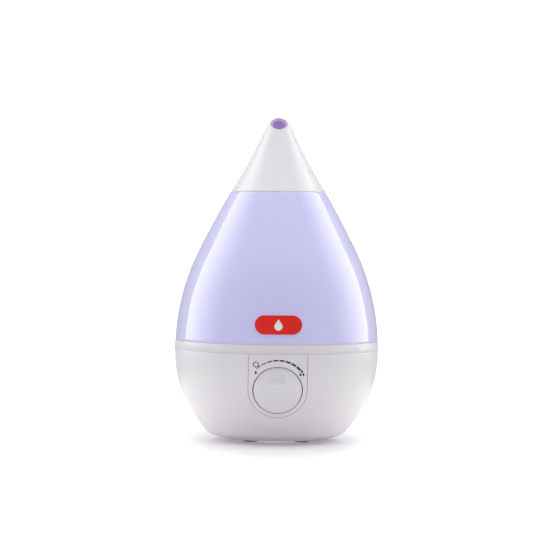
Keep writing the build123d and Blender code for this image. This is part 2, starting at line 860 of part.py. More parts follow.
pot_front = dial_plane.offset(-cup_depth - cup_floor - fit_gap)
nut_face = dial_plane.offset(-cup_depth + washer_height)
with BuildPart() as potentiometer:
    with BuildSketch(pot_front):
        Circle(pot_radius)
    extrude(amount=-pot_depth)
    with BuildSketch(pot_front.offset(-pot_depth / 2)):
        with Locations((0, -pot_radius)):
            RectangleRounded(pot_tag_width, pot_tag_height, pot_tag_corner)
    extrude(amount=-pot_tag_thickness)
    with BuildSketch(pot_front):
        Circle(bushing_radius)
    extrude(amount=cup_floor + washer_height + nut_height)
    with BuildSketch(pot_front.offset(pot_end_wall - pot_depth)):
        Circle(shaft_radius + running_gap)
    extrude(amount=pot_depth + cup_floor + washer_height + nut_height, mode=Mode.SUBTRACT)
save(potentiometer, "potentiometer")

with BuildPart() as pot_washer:
    with BuildSketch(dial_plane.offset(-cup_depth)):
        Circle(bushing_radius + washer_width)
        Circle(bushing_radius + fit_gap, mode=Mode.SUBTRACT)
    extrude(amount=washer_height)
save(pot_washer, "pot_washer")

with BuildPart() as pot_nut:
    with BuildSketch(nut_face):
        RegularPolygon(bushing_radius + nut_wall, 6)
        Circle(bushing_radius + fit_gap, mode=Mode.SUBTRACT)
    extrude(amount=nut_height - fit_gap)
save(pot_nut, "pot_nut")

# ---------------------------------------------------------------- boards

board_labels = ("driver_board", "power_board")
for label, (place, size) in zip(board_labels, boards):
    with BuildPart() as board:
        with Locations((*place, board_height)):
            rounded_plate(size, board_thickness, board_corner)
            with board_corners(size):
                Cylinder(
                    board_screw_radius + fit_gap,
                    board_thickness,
                    align=upright,
                    mode=Mode.SUBTRACT,
                )
    save(board, label)

board_top = board_height + board_thickness
with BuildPart() as board_screws:
    screw_places = [
        (place[0] + x * (size[0] / 2 - board_hole_inset), place[1] + y * (size[1] / 2 - board_hole_inset))
        for place, size in boards
        for x in (-1, 1)
        for y in (-1, 1)
    ]
    screws(
        Locations(*[(x, y, 0) for x, y in screw_places]),
        board_screw_radius,
        board_thickness + board_screw_bite,
        board_screw_head,
        board_screw_head_height,
        up=False,
    )
board_screws.part.position = (0, 0, board_top)
save(board_screws, "board_screws")

fin_pitch = (heat_sink_size[0] - fin_thickness) / (fin_count - 1)
sink_y = driver_board_place[1] - sink_shift
with BuildPart() as heat_sink:
    with Locations((driver_board_place[0], sink_y, board_top)):
        Box(*heat_sink_size, align=upright)
        with GridLocations(fin_pitch, 0, fin_count, 1):
            Box(fin_thickness, heat_sink_size[1], heat_sink_size[2] + fin_height, align=upright)
save(heat_sink, "heat_sink")

core_width, core_depth, core_height = transformer_size
with BuildPart() as transformer:
    with Locations((power_board_place[0], power_board_place[1], board_top)):
        Box(core_width, core_depth - 2 * coil_step, core_height, align=upright)
        with Locations((0, 0, coil_step)):
            Box(core_width - 2 * coil_side, core_depth, core_height - 2 * coil_step, align=upright)
    fillet(transformer.edges().filter_by(Axis.Z), transformer_round)
save(transformer, "transformer")

capacitor_x = (transformer_size[0] / 2 + power_board_size[0] / 2) / 2 - capacitor_shift
with BuildPart() as capacitors:
    for side in (-1, 1):
        with Locations((power_board_place[0] + side * capacitor_x, power_board_place[1], board_top)):
            Cylinder(capacitor_radius, capacitor_height, align=upright)
    fillet(capacitors.edges().filter_by(GeomType.CIRCLE), capacitor_round)
save(capacitors, "capacitors")

# ---------------------------------------------------------------- tank

chimney_outer = chimney_radius + chimney_wall
ring_outer = band_inner - sliding_gap
ring_inner = ring_outer - foot_ring_width
plate_bottom = tank_floor_height - wall
neck_outer = neck_radius + wall
cap_bottom = water_level
cap_floor_top = cap_bottom + wall
cap_inner = neck_outer + cap_clearance
cap_outer = cap_inner + cap_wall

with BuildPart() as tank_shell:
    with BuildSketch(Plane.XZ):
        with BuildLine():
            tank_side(tank_bottom, tank_top)
            Line((tank_radius(tank_top), tank_top), (tank_radius(tank_top, wall), tank_top))
            side_arc(tank_radius, tank_top, top_deck_height, wall)
            Polyline(
                (tank_radius(top_deck_height, wall), top_deck_height),
                (chimney_outer + fit_gap, top_deck_height),
                (chimney_outer + fit_gap, top_deck_height - wall),
                (tank_radius(top_deck_height - wall, wall), top_deck_height - wall),
            )
            side_arc(tank_radius, top_deck_height - wall, shoulder_at(wall), wall)
            side_arc(tank_radius, shoulder_at(wall), tank_bottom, wall)
            Line((tank_radius(tank_bottom, wall), tank_bottom), (tank_radius(tank_bottom), tank_bottom))
        make_face()
    revolve(axis=Axis.Z)
save(tank_shell, "tank_shell")

with BuildPart() as tank_floor:
    with Locations((0, 0, plate_bottom)):
        Cylinder(tank_radius(tank_floor_height, wall) - fit_gap, wall, align=upright)
    tube(ring_inner, ring_outer, seat_height, plate_bottom)
    with Locations((0, cap_offset, neck_bottom)):
        Cylinder(neck_outer, plate_bottom - neck_bottom, align=upright)
        Cylinder(neck_radius, tank_floor_height - neck_bottom, align=upright, mode=Mode.SUBTRACT)
    with Locations((0, 0, plate_bottom)):
        Cylinder(chimney_outer + fit_gap, wall, align=upright, mode=Mode.SUBTRACT)
save(tank_floor, "tank_floor")

with BuildPart() as mist_chimney:
    tube(chimney_outer, chimney_outer + wall, plate_bottom - 2 * wall, plate_bottom)
    tube(chimney_radius, chimney_outer, chimney_bottom, top_deck_height)
save(mist_chimney, "mist_chimney")

with BuildPart() as tank_cap:
    with Locations((0, cap_offset, 0)):
        tube(cap_inner, cap_outer, cap_floor_top, cap_bottom + cap_height)
        tube(valve_hole, cap_outer, cap_bottom, cap_floor_top)
        with Locations((0, 0, cap_bottom)):
            with PolarLocations(cap_outer, cap_rib_count):
                Cylinder(cap_rib_radius, cap_height - wall, align=upright)
save(tank_cap, "tank_cap")

with BuildPart() as cap_gasket:
    with Locations((0, cap_offset, 0)):
        tube(cap_inner - gasket_width, cap_inner - fit_gap, cap_floor_top, neck_bottom - fit_gap)
save(cap_gasket, "cap_gasket")

guide_top = cap_floor_top + guide_height
with BuildPart() as valve_guide:
    with Locations((0, cap_offset, 0)):
        tube(stem_radius + sliding_gap, guide_radius, guide_top - guide_wall, guide_top)
        for turn in (0, 120, 240):
            with Locations(Location((0, 0, cap_floor_top), (0, 0, turn))):
                with Locations((guide_radius - guide_wall / 2, 0, 0)):
                    Box(guide_wall, guide_leg, guide_height, align=upright)
save(valve_guide, "valve_guide")

seal_face = cap_floor_top + valve_gap
disc_face = seal_face + valve_seal_height
stem_top = guide_top + stem_proud
with BuildPart() as valve_plunger:
    with Locations((0, cap_offset, cap_bottom - stem_reach)):
        Cylinder(stem_radius, stem_top - cap_bottom + stem_reach, align=upright)
    with Locations((0, cap_offset, disc_face)):
        Cylinder(valve_disc_radius, valve_disc_height, align=upright)
    chamfer(valve_plunger.edges().group_by(Axis.Z)[0], stem_chamfer)
save(valve_plunger, "valve_plunger")

with BuildPart() as valve_seal:
    with Locations((0, cap_offset, 0)):
        tube(stem_radius + fit_gap, valve_disc_radius, seal_face, disc_face)
save(valve_seal, "valve_seal")

spring_bottom = disc_face + valve_disc_height + spring_wire + fit_gap
spring_span = guide_top - guide_wall - fit_gap - spring_wire - spring_bottom
with BuildPart() as valve_spring:
    with BuildLine() as coil:
        Helix(
            spring_span / spring_turns,
            spring_span,
            spring_radius,
            center=(0, cap_offset, spring_bottom),
        )
    with BuildSketch(Plane(origin=coil.line @ 0, z_dir=coil.line % 0)):
        Circle(spring_wire)
    sweep(path=coil.line)
save(valve_spring, "valve_spring")


def tank_skin(outer_inset, inner_inset):
    """Part of the tank's side round the badge, between two depths."""
    low = badge_height - badge_tall
    high = badge_height + badge_tall
    with BuildPart() as skin:
        with BuildSketch(Plane.XZ):
            with BuildLine():
                side_arc(tank_radius, low, high, outer_inset)
                Line((tank_radius(high, outer_inset), high), (tank_radius(high, inner_inset), high))
                side_arc(tank_radius, high, low, inner_inset)
                Line((tank_radius(low, inner_inset), low), (tank_radius(low, outer_inset), low))
            make_face()
        revolve(axis=Axis.Z)
    return skin.part


badge_plane = Plane(origin=(0, 0, badge_height), x_dir=(1, 0, 0), z_dir=(0, -1, 0))
with BuildPart() as badge:
    with BuildSketch(badge_plane):
        SlotOverall(badge_width, badge_tall)
    extrude(amount=body_radius + 2 * badge_thickness)
    add(tank_skin(-badge_thickness, -fit_gap), mode=Mode.INTERSECT)
save(badge, "badge")

emblem_face = -badge_thickness - emblem_thickness
with BuildPart() as badge_emblem:
    with BuildSketch(badge_plane):
        drop_centre = -emblem_tip / 2 + emblem_radius
        with BuildLine():
            reach = emblem_tip - emblem_radius
            touch = asin(emblem_radius / reach)
            side_x = emblem_radius * cos(touch)
            side_y = drop_centre + emblem_radius * sin(touch)
            Polyline((-side_x, side_y), (0, drop_centre + reach), (side_x, side_y))
            ThreePointArc((side_x, side_y), (0, drop_centre - emblem_radius), (-side_x, side_y))
        make_face()
    extrude(amount=body_radius + 2 * badge_thickness)
    add(tank_skin(emblem_face, -badge_thickness - fit_gap / 2), mode=Mode.INTERSECT)
save(badge_emblem, "badge_emblem")

# ---------------------------------------------------------------- lid and nozzle

lid_outer = tank_radius(tank_top, wall) - sliding_gap
lid_top = top_deck_height + lid_ring_height
upper_outer = cone_radius(lid_top, cone_wall) - lid_clearance
with BuildPart() as lid_ring:
    tube(upper_outer - lid_ring_wall, lid_outer, top_deck_height, cone_bottom)
    tube(upper_outer - lid_ring_wall, upper_outer, top_deck_height, lid_top)
save(lid_ring, "lid_ring")

with BuildPart() as nozzle_cone:
    with BuildSketch(Plane.XZ):
        with BuildLine():
            inner_reach = tip_radius - cone_wall
            lean = (cone_z - tip_height) / hypot(cone_r, cone_z - tip_height)
            outer_tangent = tip_height + tip_radius * lean
            inner_tangent = tip_height + inner_reach * lean
            side_arc(cone_radius, cone_bottom, outer_tangent)
            tip_arc(0.0)
            Line((0, tip_height + tip_radius), (0, tip_height + inner_reach))
            tip_arc(cone_wall)
            side_arc(cone_radius, cone_bottom, inner_tangent, cone_wall)
            Line((cone_radius(cone_bottom, cone_wall), cone_bottom), (cone_radius(cone_bottom), cone_bottom))
        make_face()
    revolve(axis=Axis.Z)
    with BuildSketch(mouth_plane):
        Circle(tip_radius)
    extrude(amount=tip_radius, mode=Mode.SUBTRACT)
    with BuildSketch(mouth_plane):
        Circle(mouth_radius)
    extrude(amount=-mouth_depth, mode=Mode.SUBTRACT)
    ledge_radius = cone_radius(lid_top + wall, cone_wall) + cone_wall / 2
    tube(upper_outer - lid_ring_wall, ledge_radius, lid_top + fit_gap, lid_top + wall)
save(nozzle_cone, "nozzle_cone")

liner_outer = mouth_radius - fit_gap
liner_inner = liner_outer - liner_wall
bend_y = -liner_bend_radius * (1 - cos(mouth_turn))
straight = (bend_y - mouth_y) / sin(mouth_turn)
bend_low_z = mouth_z - straight * cos(mouth_turn) - liner_bend_radius * sin(mouth_turn)
funnel_top = bend_low_z - liner_drop
funnel_bottom = funnel_top - funnel_height
funnel_radius = cone_radius(funnel_bottom, cone_wall) - sliding_gap


def liner_pipe(radius, start):
    """Solid bent pipe from a distance behind the mouth down to the top of the funnel."""
    half_turn = mouth_turn / 2
    start_point = (mouth_y + start * sin(mouth_turn), mouth_z - start * cos(mouth_turn))
    bend_top = (bend_y, bend_low_z + liner_bend_radius * sin(mouth_turn))
    bend_middle = (
        -liner_bend_radius * (1 - cos(half_turn)),
        bend_low_z + liner_bend_radius * sin(half_turn),
    )
    with BuildPart() as pipe:
        with BuildLine(Plane.YZ) as route:
            Line(start_point, bend_top)
            ThreePointArc(bend_top, bend_middle, (0, bend_low_z))
            Line((0, bend_low_z), (0, funnel_top))
        with BuildSketch(mouth_plane.offset(-start)):
            Circle(radius)
        sweep(path=route.wire())
    return pipe.part


with BuildPart() as nozzle_liner:
    add(liner_pipe(liner_outer, liner_setback))
    with BuildSketch(Plane.XZ):
        with BuildLine():
            Polyline(
                (0, funnel_top + liner_wall),
                (liner_outer, funnel_top + liner_wall),
                (liner_outer, funnel_top),
                (funnel_radius, funnel_bottom),
                (0, funnel_bottom),
                (0, funnel_top + liner_wall),
            )
        make_face()
    revolve(axis=Axis.Z)
    with BuildSketch(Plane.XZ):
        with BuildLine():
            Polyline(
                (0, funnel_top),
                (liner_inner, funnel_top),
                (funnel_radius - funnel_wall, funnel_bottom),
                (0, funnel_bottom),
                (0, funnel_top),
            )
        make_face()
    revolve(axis=Axis.Z, mode=Mode.SUBTRACT)
    add(liner_pipe(liner_inner, 0.0), mode=Mode.SUBTRACT)
save(nozzle_liner, "nozzle_liner")
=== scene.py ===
"""Looks of the teardrop cool mist humidifier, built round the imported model.

Metres. +Z is up, the front is -Y, and the origin is at the centre of the resting plane.
"""

import json
import logging
from collections.abc import Callable, Iterator, Sequence
from contextlib import contextmanager
from dataclasses import dataclass, field
from enum import Enum
from math import asin, cos, hypot, pi, radians, sin, sqrt

import bpy
from mathutils import Matrix, Vector


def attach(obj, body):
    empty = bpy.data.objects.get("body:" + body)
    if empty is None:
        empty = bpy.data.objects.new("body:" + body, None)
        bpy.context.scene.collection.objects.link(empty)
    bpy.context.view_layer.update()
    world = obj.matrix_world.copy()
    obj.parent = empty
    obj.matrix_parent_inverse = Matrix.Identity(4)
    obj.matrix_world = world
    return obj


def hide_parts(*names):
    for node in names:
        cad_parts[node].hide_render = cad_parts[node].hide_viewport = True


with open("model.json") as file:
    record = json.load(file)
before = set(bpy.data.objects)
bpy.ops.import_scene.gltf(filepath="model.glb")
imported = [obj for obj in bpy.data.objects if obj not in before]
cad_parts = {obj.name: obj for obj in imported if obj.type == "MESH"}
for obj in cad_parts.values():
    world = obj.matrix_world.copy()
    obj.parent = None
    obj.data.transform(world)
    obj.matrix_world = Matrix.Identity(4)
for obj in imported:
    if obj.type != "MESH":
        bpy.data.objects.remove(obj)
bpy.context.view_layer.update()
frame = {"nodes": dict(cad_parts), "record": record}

log = logging.getLogger("humidifier")

Point = tuple[float, float]
Colour = tuple[float, float, float]
Piece = bpy.types.Object

FINE = 2e-6          # points nearer than this are one point
ROUND_STEPS = 192    # faces round a large turned piece


# ---------------------------------------------------------------- shader building


class Value:
    """A shader socket, or a number, that adds Math nodes when it is used in an expression."""

    def __init__(self, shade: "Shade", socket: bpy.types.NodeSocket) -> None:
        """Keep the socket and the tree that it belongs to."""
        self.shade = shade
        self.socket = socket

    def _math(self, operation: str, first: object, second: object = 0.0) -> "Value":
        """Add a Math node.

        Args:
            operation: Math node operation.
            first: first input, a value or a number.
            second: second input, a value or a number.

        Returns:
            The node's result.
        """
        return self.shade.node("ShaderNodeMath", {"operation": operation}, {0: first, 1: second})

    def __add__(self, other: object) -> "Value":
        """Sum of two values."""
        return self._math("ADD", self, other)

    def __radd__(self, other: object) -> "Value":
        """Sum with a number on the left."""
        return self._math("ADD", other, self)

    def __sub__(self, other: object) -> "Value":
        """Difference of two values."""
        return self._math("SUBTRACT", self, other)

    def __rsub__(self, other: object) -> "Value":
        """Difference from a number on the left."""
        return self._math("SUBTRACT", other, self)

    def __mul__(self, other: object) -> "Value":
        """Product of two values."""
        return self._math("MULTIPLY", self, other)

    def __rmul__(self, other: object) -> "Value":
        """Product with a number on the left."""
        return self._math("MULTIPLY", other, self)

    def __pow__(self, other: object) -> "Value":
        """Power of a value."""
        return self._math("POWER", self, other)

    def wave(self) -> "Value":
        """Sine of the value."""
        return self._math("SINE", self)

    def above(self, limit: float) -> "Value":
        """1 where the value is greater than the limit, else 0."""
        return self._math("GREATER_THAN", self, limit)

    def spread(self, low: float, high: float) -> "Value":
        """Map the range from low to high smoothly onto 0 to 1."""
        return self.shade.node(
            "ShaderNodeMapRange",
            {"interpolation_type": "SMOOTHSTEP"},
            {"Value": self, "From Min": low, "From Max": high},
        )


class Shade:
    """One material and its node tree."""

    def __init__(self, name: str) -> None:
        """Start an empty node tree in a new material."""
        self.material = bpy.data.materials.new(name)
        self.material.use_nodes = True
        self.tree = self.material.node_tree
        self.tree.nodes.clear()
        self.end = self.tree.nodes.new("ShaderNodeOutputMaterial")

    def node(
        self,
        kind: str,
        settings: dict[str, object] | None = None,
        inputs: dict[object, object] | None = None,
        output: object = 0,
    ) -> Value:
        """Add a node.

        Args:
            kind: the node's type name.
            settings: the node's own properties, and "stops" for a colour ramp.
            inputs: values or links for its sockets, by name or number.
            output: the output that is returned, by name or number.

        Returns:
            The chosen output.
        """
        made = self.tree.nodes.new(kind)
        for key, value in (settings or {}).items():
            if key == "stops":
                ramp = made.color_ramp.elements
                while len(ramp) < len(value):
                    ramp.new(0.5)
                for stop, (place, colour) in zip(ramp, value):
                    stop.position, stop.color = place, (*colour, 1.0)
            else:
                setattr(made, key, value)
        for key, value in (inputs or {}).items():
            if isinstance(value, Value):
                self.tree.links.new(value.socket, made.inputs[key])
            else:
                socket = made.inputs[key]
                is_colour = socket.type == "RGBA" and len(value) == 3
                socket.default_value = (*value, 1.0) if is_colour else value
        return Value(self, made.outputs[output])

    def place(self, scale: Sequence[float] = (1.0, 1.0, 1.0)) -> Value:
        """Object coordinates, stretched by a scale."""
        coords = self.node("ShaderNodeTexCoord", output="Object")
        return self.node("ShaderNodeMapping", inputs={"Vector": coords, "Scale": tuple(scale)})

    def axis(self, which: int) -> Value:
        """One of the object coordinates: 0 for X, 1 for Y, 2 for Z."""
        coords = self.node("ShaderNodeTexCoord", output="Object")
        return self.node("ShaderNodeSeparateXYZ", inputs={0: coords}, output=which)

    def noise(self, scale: float, detail: float = 3.0, stretch: Sequence[float] = (1.0, 1.0, 1.0)) -> Value:
        """Soft noise between about 0.3 and 0.7, of a given fineness."""
        return self.node(
            "ShaderNodeTexNoise",
            inputs={"Vector": self.place(stretch), "Scale": scale, "Detail": detail, "Roughness": 0.55},
        )

    def mix(self, factor: object, first: object, second: object) -> Value:
        """Blend two colours by a factor."""
        return self.node(
            "ShaderNodeMix",
            {"data_type": "RGBA"},
            {0: factor, 6: first, 7: second},
            output=2,
        )

    def bump(self, height: Value, strength: float, distance: float) -> Value:
        """Normal that follows a height, in metres."""
        return self.node(
            "ShaderNodeBump",
            inputs={"Strength": strength, "Distance": distance, "Height": height},
        )

    def surface(self, **sockets: object) -> bpy.types.Material:
        """Finish the material with a Principled shader.

        Args:
            sockets: its inputs, with an underscore for each space.

        Returns:
            The finished material.
        """
        inputs = {key.replace("_", " "): value for key, value in sockets.items()}
        shader = self.node("ShaderNodeBsdfPrincipled", inputs=inputs)
        self.tree.links.new(shader.socket, self.end.inputs["Surface"])
        return self.material


# ---------------------------------------------------------------- finishes


@dataclass(frozen=True)
class Moulded:
    """Moulded plastic, rubber or ceramic with faint mottling and a fine skin, and an optional painted glow.
    """

    colour: Colour
    roughness: float = 0.35
    mottle: float = 0.03
    mottle_scale: float = 45.0
    skin: float = 0.15
    skin_scale: float = 1400.0
    coat: float = 0.0
    coat_roughness: float = 0.06
    sheen_under: float = 0.0
    # glow is a painted glow: emission standing in for light the part doesn't get, used only on the nozzle
    # liner
    glow: float = 0.0

    def make(self, name: str) -> bpy.types.Material:
        """Build the material."""
        shade = Shade(name)
        cloud = shade.noise(self.mottle_scale, 4.0)
        fine = shade.noise(self.skin_scale, 2.0)
        dark = tuple(part * (1.0 - 2.0 * self.mottle) for part in self.colour)
        return shade.surface(
            Base_Color=shade.mix(cloud.spread(0.3, 0.7), dark, self.colour),
            Roughness=self.roughness * (0.85 + 0.3 * cloud),
            Coat_Weight=self.coat,
            Coat_Roughness=self.coat_roughness,
            Subsurface_Weight=self.sheen_under,
            Subsurface_Radius=(0.004, 0.0035, 0.0045),
            Subsurface_Scale=1.0,
            # painted glow in the mottled colour, at the strength set by glow
            Emission_Color=shade.mix(cloud, dark, self.colour),
            Emission_Strength=self.glow,
            Normal=shade.bump(fine, self.skin, 0.00004),
        )


@dataclass(frozen=True)
class Translucent:
    """Tinted plastic that is glossy outside and frosted inside, and passes blurred light, with a faint
    painted glow standing in for light that shines through its wall.
    """

    colour: Colour
    deep: Colour
    # painted glow: a faint bluish emission that stands in for light passing through the tinted wall
    painted_glow: Colour = (0.03, 0.03, 0.06)
    passing: float = 0.12
    roughness: float = 0.42
    cloud_scale: float = 9.0

    def make(self, name: str) -> bpy.types.Material:
        """Build the material."""
        shade = Shade(name)
        flow = shade.noise(self.cloud_scale, 3.0, (1.0, 1.0, 0.35))
        frost = shade.noise(900.0, 2.0)
        return shade.surface(
            Base_Color=shade.mix(flow.spread(0.25, 0.75), self.deep, self.colour),
            Roughness=self.roughness + 0.1 * (frost - 0.5),
            IOR=1.46,
            Transmission_Weight=self.passing,
            Coat_Weight=1.0,
            Coat_Roughness=0.06,
            Coat_IOR=1.5,
            Subsurface_Weight=0.2,
            Subsurface_Radius=(0.006, 0.006, 0.009),
            Subsurface_Scale=1.0,
            # painted glow of the tinted wall
            Emission_Color=self.painted_glow,
            Emission_Strength=1.0,
            Normal=shade.bump(frost, 0.06, 0.00003),
        )


@dataclass(frozen=True)
class Metal:
    """Bare or plated metal with a fine turned or drawn grain."""

    colour: Colour
    roughness: float = 0.3
    grain_stretch: tuple[float, float, float] = (1.0, 1.0, 0.05)
    tarnish: Colour = (0.35, 0.33, 0.30)

    def make(self, name: str) -> bpy.types.Material:
        """Build the material."""
        shade = Shade(name)
        grain = shade.noise(2600.0, 2.0, self.grain_stretch)
        stain = shade.noise(160.0, 5.0)
        return shade.surface(
            Base_Color=shade.mix(0.35 * stain.spread(0.5, 0.75), self.colour, self.tarnish),
            Metallic=1.0,
            Roughness=self.roughness + 0.25 * (grain - 0.4),
            Normal=shade.bump(grain, 0.2, 0.00002),
        )


@dataclass(frozen=True)
class Laminated:
    """Dark varnished core of stacked sheets, with wound copper showing between them."""

    colour: Colour
    copper: Colour = (0.62, 0.26, 0.11)
    sheet: float = 0.0007

    def make(self, name: str) -> bpy.types.Material:
        """Build the material."""
        shade = Shade(name)
        layers = (shade.axis(2) * (2 * pi / self.sheet)).wave()
        stain = shade.noise(300.0, 4.0)
        return shade.surface(
            Base_Color=shade.mix(stain.spread(0.62, 0.72), self.colour, self.copper),
            Metallic=0.4,
            Roughness=0.45 + 0.12 * layers,
            Normal=shade.bump(layers, 0.3, 0.00008),
        )


@dataclass(frozen=True)
class SolderMask:
    """Circuit board: green lacquer over copper tracks, with tinned pads."""

    colour: Colour
    track: Colour = (0.02, 0.17, 0.06)
    pad: Colour = (0.72, 0.70, 0.66)
    pitch: float = 0.00254

    def make(self, name: str) -> bpy.types.Material:
        """Build the material."""
        shade = Shade(name)
        maze = shade.node(
            "ShaderNodeTexBrick",
            inputs={
                "Vector": shade.place(),
                "Scale": 1.0 / (8 * self.pitch),
                "Mortar Size": 0.05,
                "Color1": (0.0, 0.0, 0.0),
                "Color2": (0.2, 0.2, 0.2),
                "Mortar": (1.0, 1.0, 1.0),
            },
        )
        dots = shade.node(
            "ShaderNodeTexVoronoi",
            inputs={"Vector": shade.place(), "Scale": 0.35 / self.pitch, "Randomness": 0.25},
        )
        pads = 1 - dots.above(0.16)
        tracks = shade.mix(maze, self.colour, self.track)
        return shade.surface(
            Base_Color=shade.mix(pads, tracks, self.pad),
            Metallic=pads * 0.9,
            Roughness=0.3 + 0.1 * shade.noise(220.0),
            Normal=shade.bump(maze, 0.3, 0.00004),
        )


@dataclass(frozen=True)
class Foam:
    """Closed-cell foam with small pores."""

    colour: Colour
    pore_scale: float = 1100.0

    def make(self, name: str) -> bpy.types.Material:
        """Build the material."""
        shade = Shade(name)
        pores = shade.node(
            "ShaderNodeTexVoronoi",
            inputs={"Vector": shade.place(), "Scale": self.pore_scale},
        )
        shadow = tuple(part * 0.72 for part in self.colour)
        return shade.surface(
            Base_Color=shade.mix(pores.spread(0.1, 0.5), shadow, self.colour),
            Roughness=0.75 + 0.15 * pores,
            Normal=shade.bump(pores, 0.5, 0.00015),
        )


@dataclass(frozen=True)
class CupPaintedShade:
    """Plastic of the dial's cup with painted shade: dark at its top as painted shadow in the gap, pale at its
    foot as painted light.
    """

    # colour is the dark painted shadow at the top; the foot colour is the pale painted light lower down
    colour: Colour
    painted_lit_foot: Colour
    low: float
    high: float

    def make(self, name: str) -> bpy.types.Material:
        """Build the material."""
        shade = Shade(name)
        cloud = shade.noise(90.0)
        # painted shade by height: pale painted light low on the cup, dark painted shadow higher up
        rise = shade.axis(2).spread(self.low, self.high)
        return shade.surface(
            Base_Color=shade.mix(rise, self.painted_lit_foot, self.colour),
            Roughness=0.5 + 0.1 * cloud,
        )


@dataclass(frozen=True)
class Ink:
    """Printed ink, slightly uneven, on glossy plastic."""

    colour: Colour

    def make(self, name: str) -> bpy.types.Material:
        """Build the material."""
        shade = Shade(name)
        wash = shade.noise(1500.0, 3.0)
        pale = tuple(part + 0.03 for part in self.colour)
        return shade.surface(
            Base_Color=shade.mix(wash, self.colour, pale),
            Roughness=0.4 + 0.15 * wash,
        )


FINISHES = {
    "white_plastic": Moulded(
        (0.80, 0.775, 0.795), 0.38, 0.004, 30.0, 0.05, coat=0.3, coat_roughness=0.2, sheen_under=0.1
    ),
    "dial_plastic": Moulded(
        (0.80, 0.78, 0.80), 0.3, 0.01, 40.0, 0.08, coat=0.4, coat_roughness=0.15, sheen_under=0.1
    ),
    "grey_plastic": Moulded((0.34, 0.35, 0.37), 0.5, 0.04, 60.0, 0.3),
    "black_plastic": Moulded((0.018, 0.018, 0.021), 0.45, 0.1, 60.0, 0.4),
    # the tank keeps its faint painted glow from the finish's default
    "tank_tint": Translucent((0.71, 0.70, 0.99), (0.68, 0.67, 0.98)),
    # painted glow: the liner glows faintly as painted light that brightens its shaded bore
    "liner_purple": Moulded((0.62, 0.46, 0.78), 0.38, 0.03, 80.0, 0.2, glow=0.16),
    "badge_red": Moulded((0.84, 0.012, 0.004), 0.45, 0.04, 60.0, 0.1, coat=0.1),
    "badge_white": Moulded((0.88, 0.87, 0.86), 0.35, 0.02, 90.0, 0.1, coat=0.3),
    "rubber_grey": Moulded((0.38, 0.375, 0.38), 0.7, 0.08, 120.0, 0.5),
    "rubber_black": Moulded((0.02, 0.02, 0.022), 0.65, 0.12, 120.0, 0.5),
    "float_foam": Foam((0.82, 0.80, 0.74)),
    "magnet_ferrite": Moulded((0.06, 0.058, 0.06), 0.55, 0.15, 240.0, 0.6, 900.0),
    "piezo_ceramic": Moulded((0.60, 0.52, 0.36), 0.35, 0.08, 200.0, 0.3, coat=0.2),
    "screw_steel": Metal((0.62, 0.62, 0.63), 0.3),
    "spring_steel": Metal((0.55, 0.55, 0.56), 0.25),
    "pot_metal": Metal((0.58, 0.57, 0.54), 0.35, (1.0, 0.05, 1.0)),
    "brass_nut": Metal((0.70, 0.50, 0.20), 0.32, tarnish=(0.30, 0.19, 0.08)),
    "circuit_board": SolderMask((0.01, 0.11, 0.04)),
    "bare_aluminium": Metal((0.70, 0.71, 0.72), 0.38, (1.0, 0.03, 1.0), (0.45, 0.45, 0.46)),
    "core_iron": Laminated((0.06, 0.055, 0.05)),
    "capacitor_sleeve": Moulded((0.015, 0.02, 0.05), 0.35, 0.1, 90.0, 0.2, coat=0.3),
    "switch_glass": Moulded((0.30, 0.42, 0.36), 0.12, 0.1, 150.0, 0.05, coat=1.0, coat_roughness=0.02),
    # painted shade on the dial's cup: near-black as shadow in the gap, pale grey as light at its foot
    "cup_painted_shade": CupPaintedShade((0.02, 0.019, 0.021), (0.62, 0.60, 0.62), 0.036, 0.056),
    "print_grey": Ink((0.018, 0.015, 0.018)),
}


class Palette:
    """Makes each finish once and lays it on pieces."""

    def __init__(self) -> None:
        """Start with no materials made."""
        self.made: dict[str, bpy.types.Material] = {}

    def material(self, slot: str) -> bpy.types.Material:
        """The material of a slot, made on first use."""
        if slot not in self.made:
            self.made[slot] = FINISHES[slot].make(slot)
        return self.made[slot]

    def dress(self, piece: Piece, slot: str) -> None:
        """Give a new piece its only material."""
        piece.data.materials.clear()
        piece.data.materials.append(self.material(slot))

    def dress_node(self, node: str, slot: str) -> None:
        """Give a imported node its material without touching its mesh."""
        packed = frame["nodes"][node]
        if not packed.material_slots:
            packed.data.materials.append(self.material(slot))
        for place in packed.material_slots:
            place.material = self.material(slot)


palette = Palette()


# ---------------------------------------------------------------- modelling bench


class Cut(Enum):
    """What a cutting piece does to the piece that it meets."""

    AWAY = "DIFFERENCE"
    KEEP = "INTERSECT"


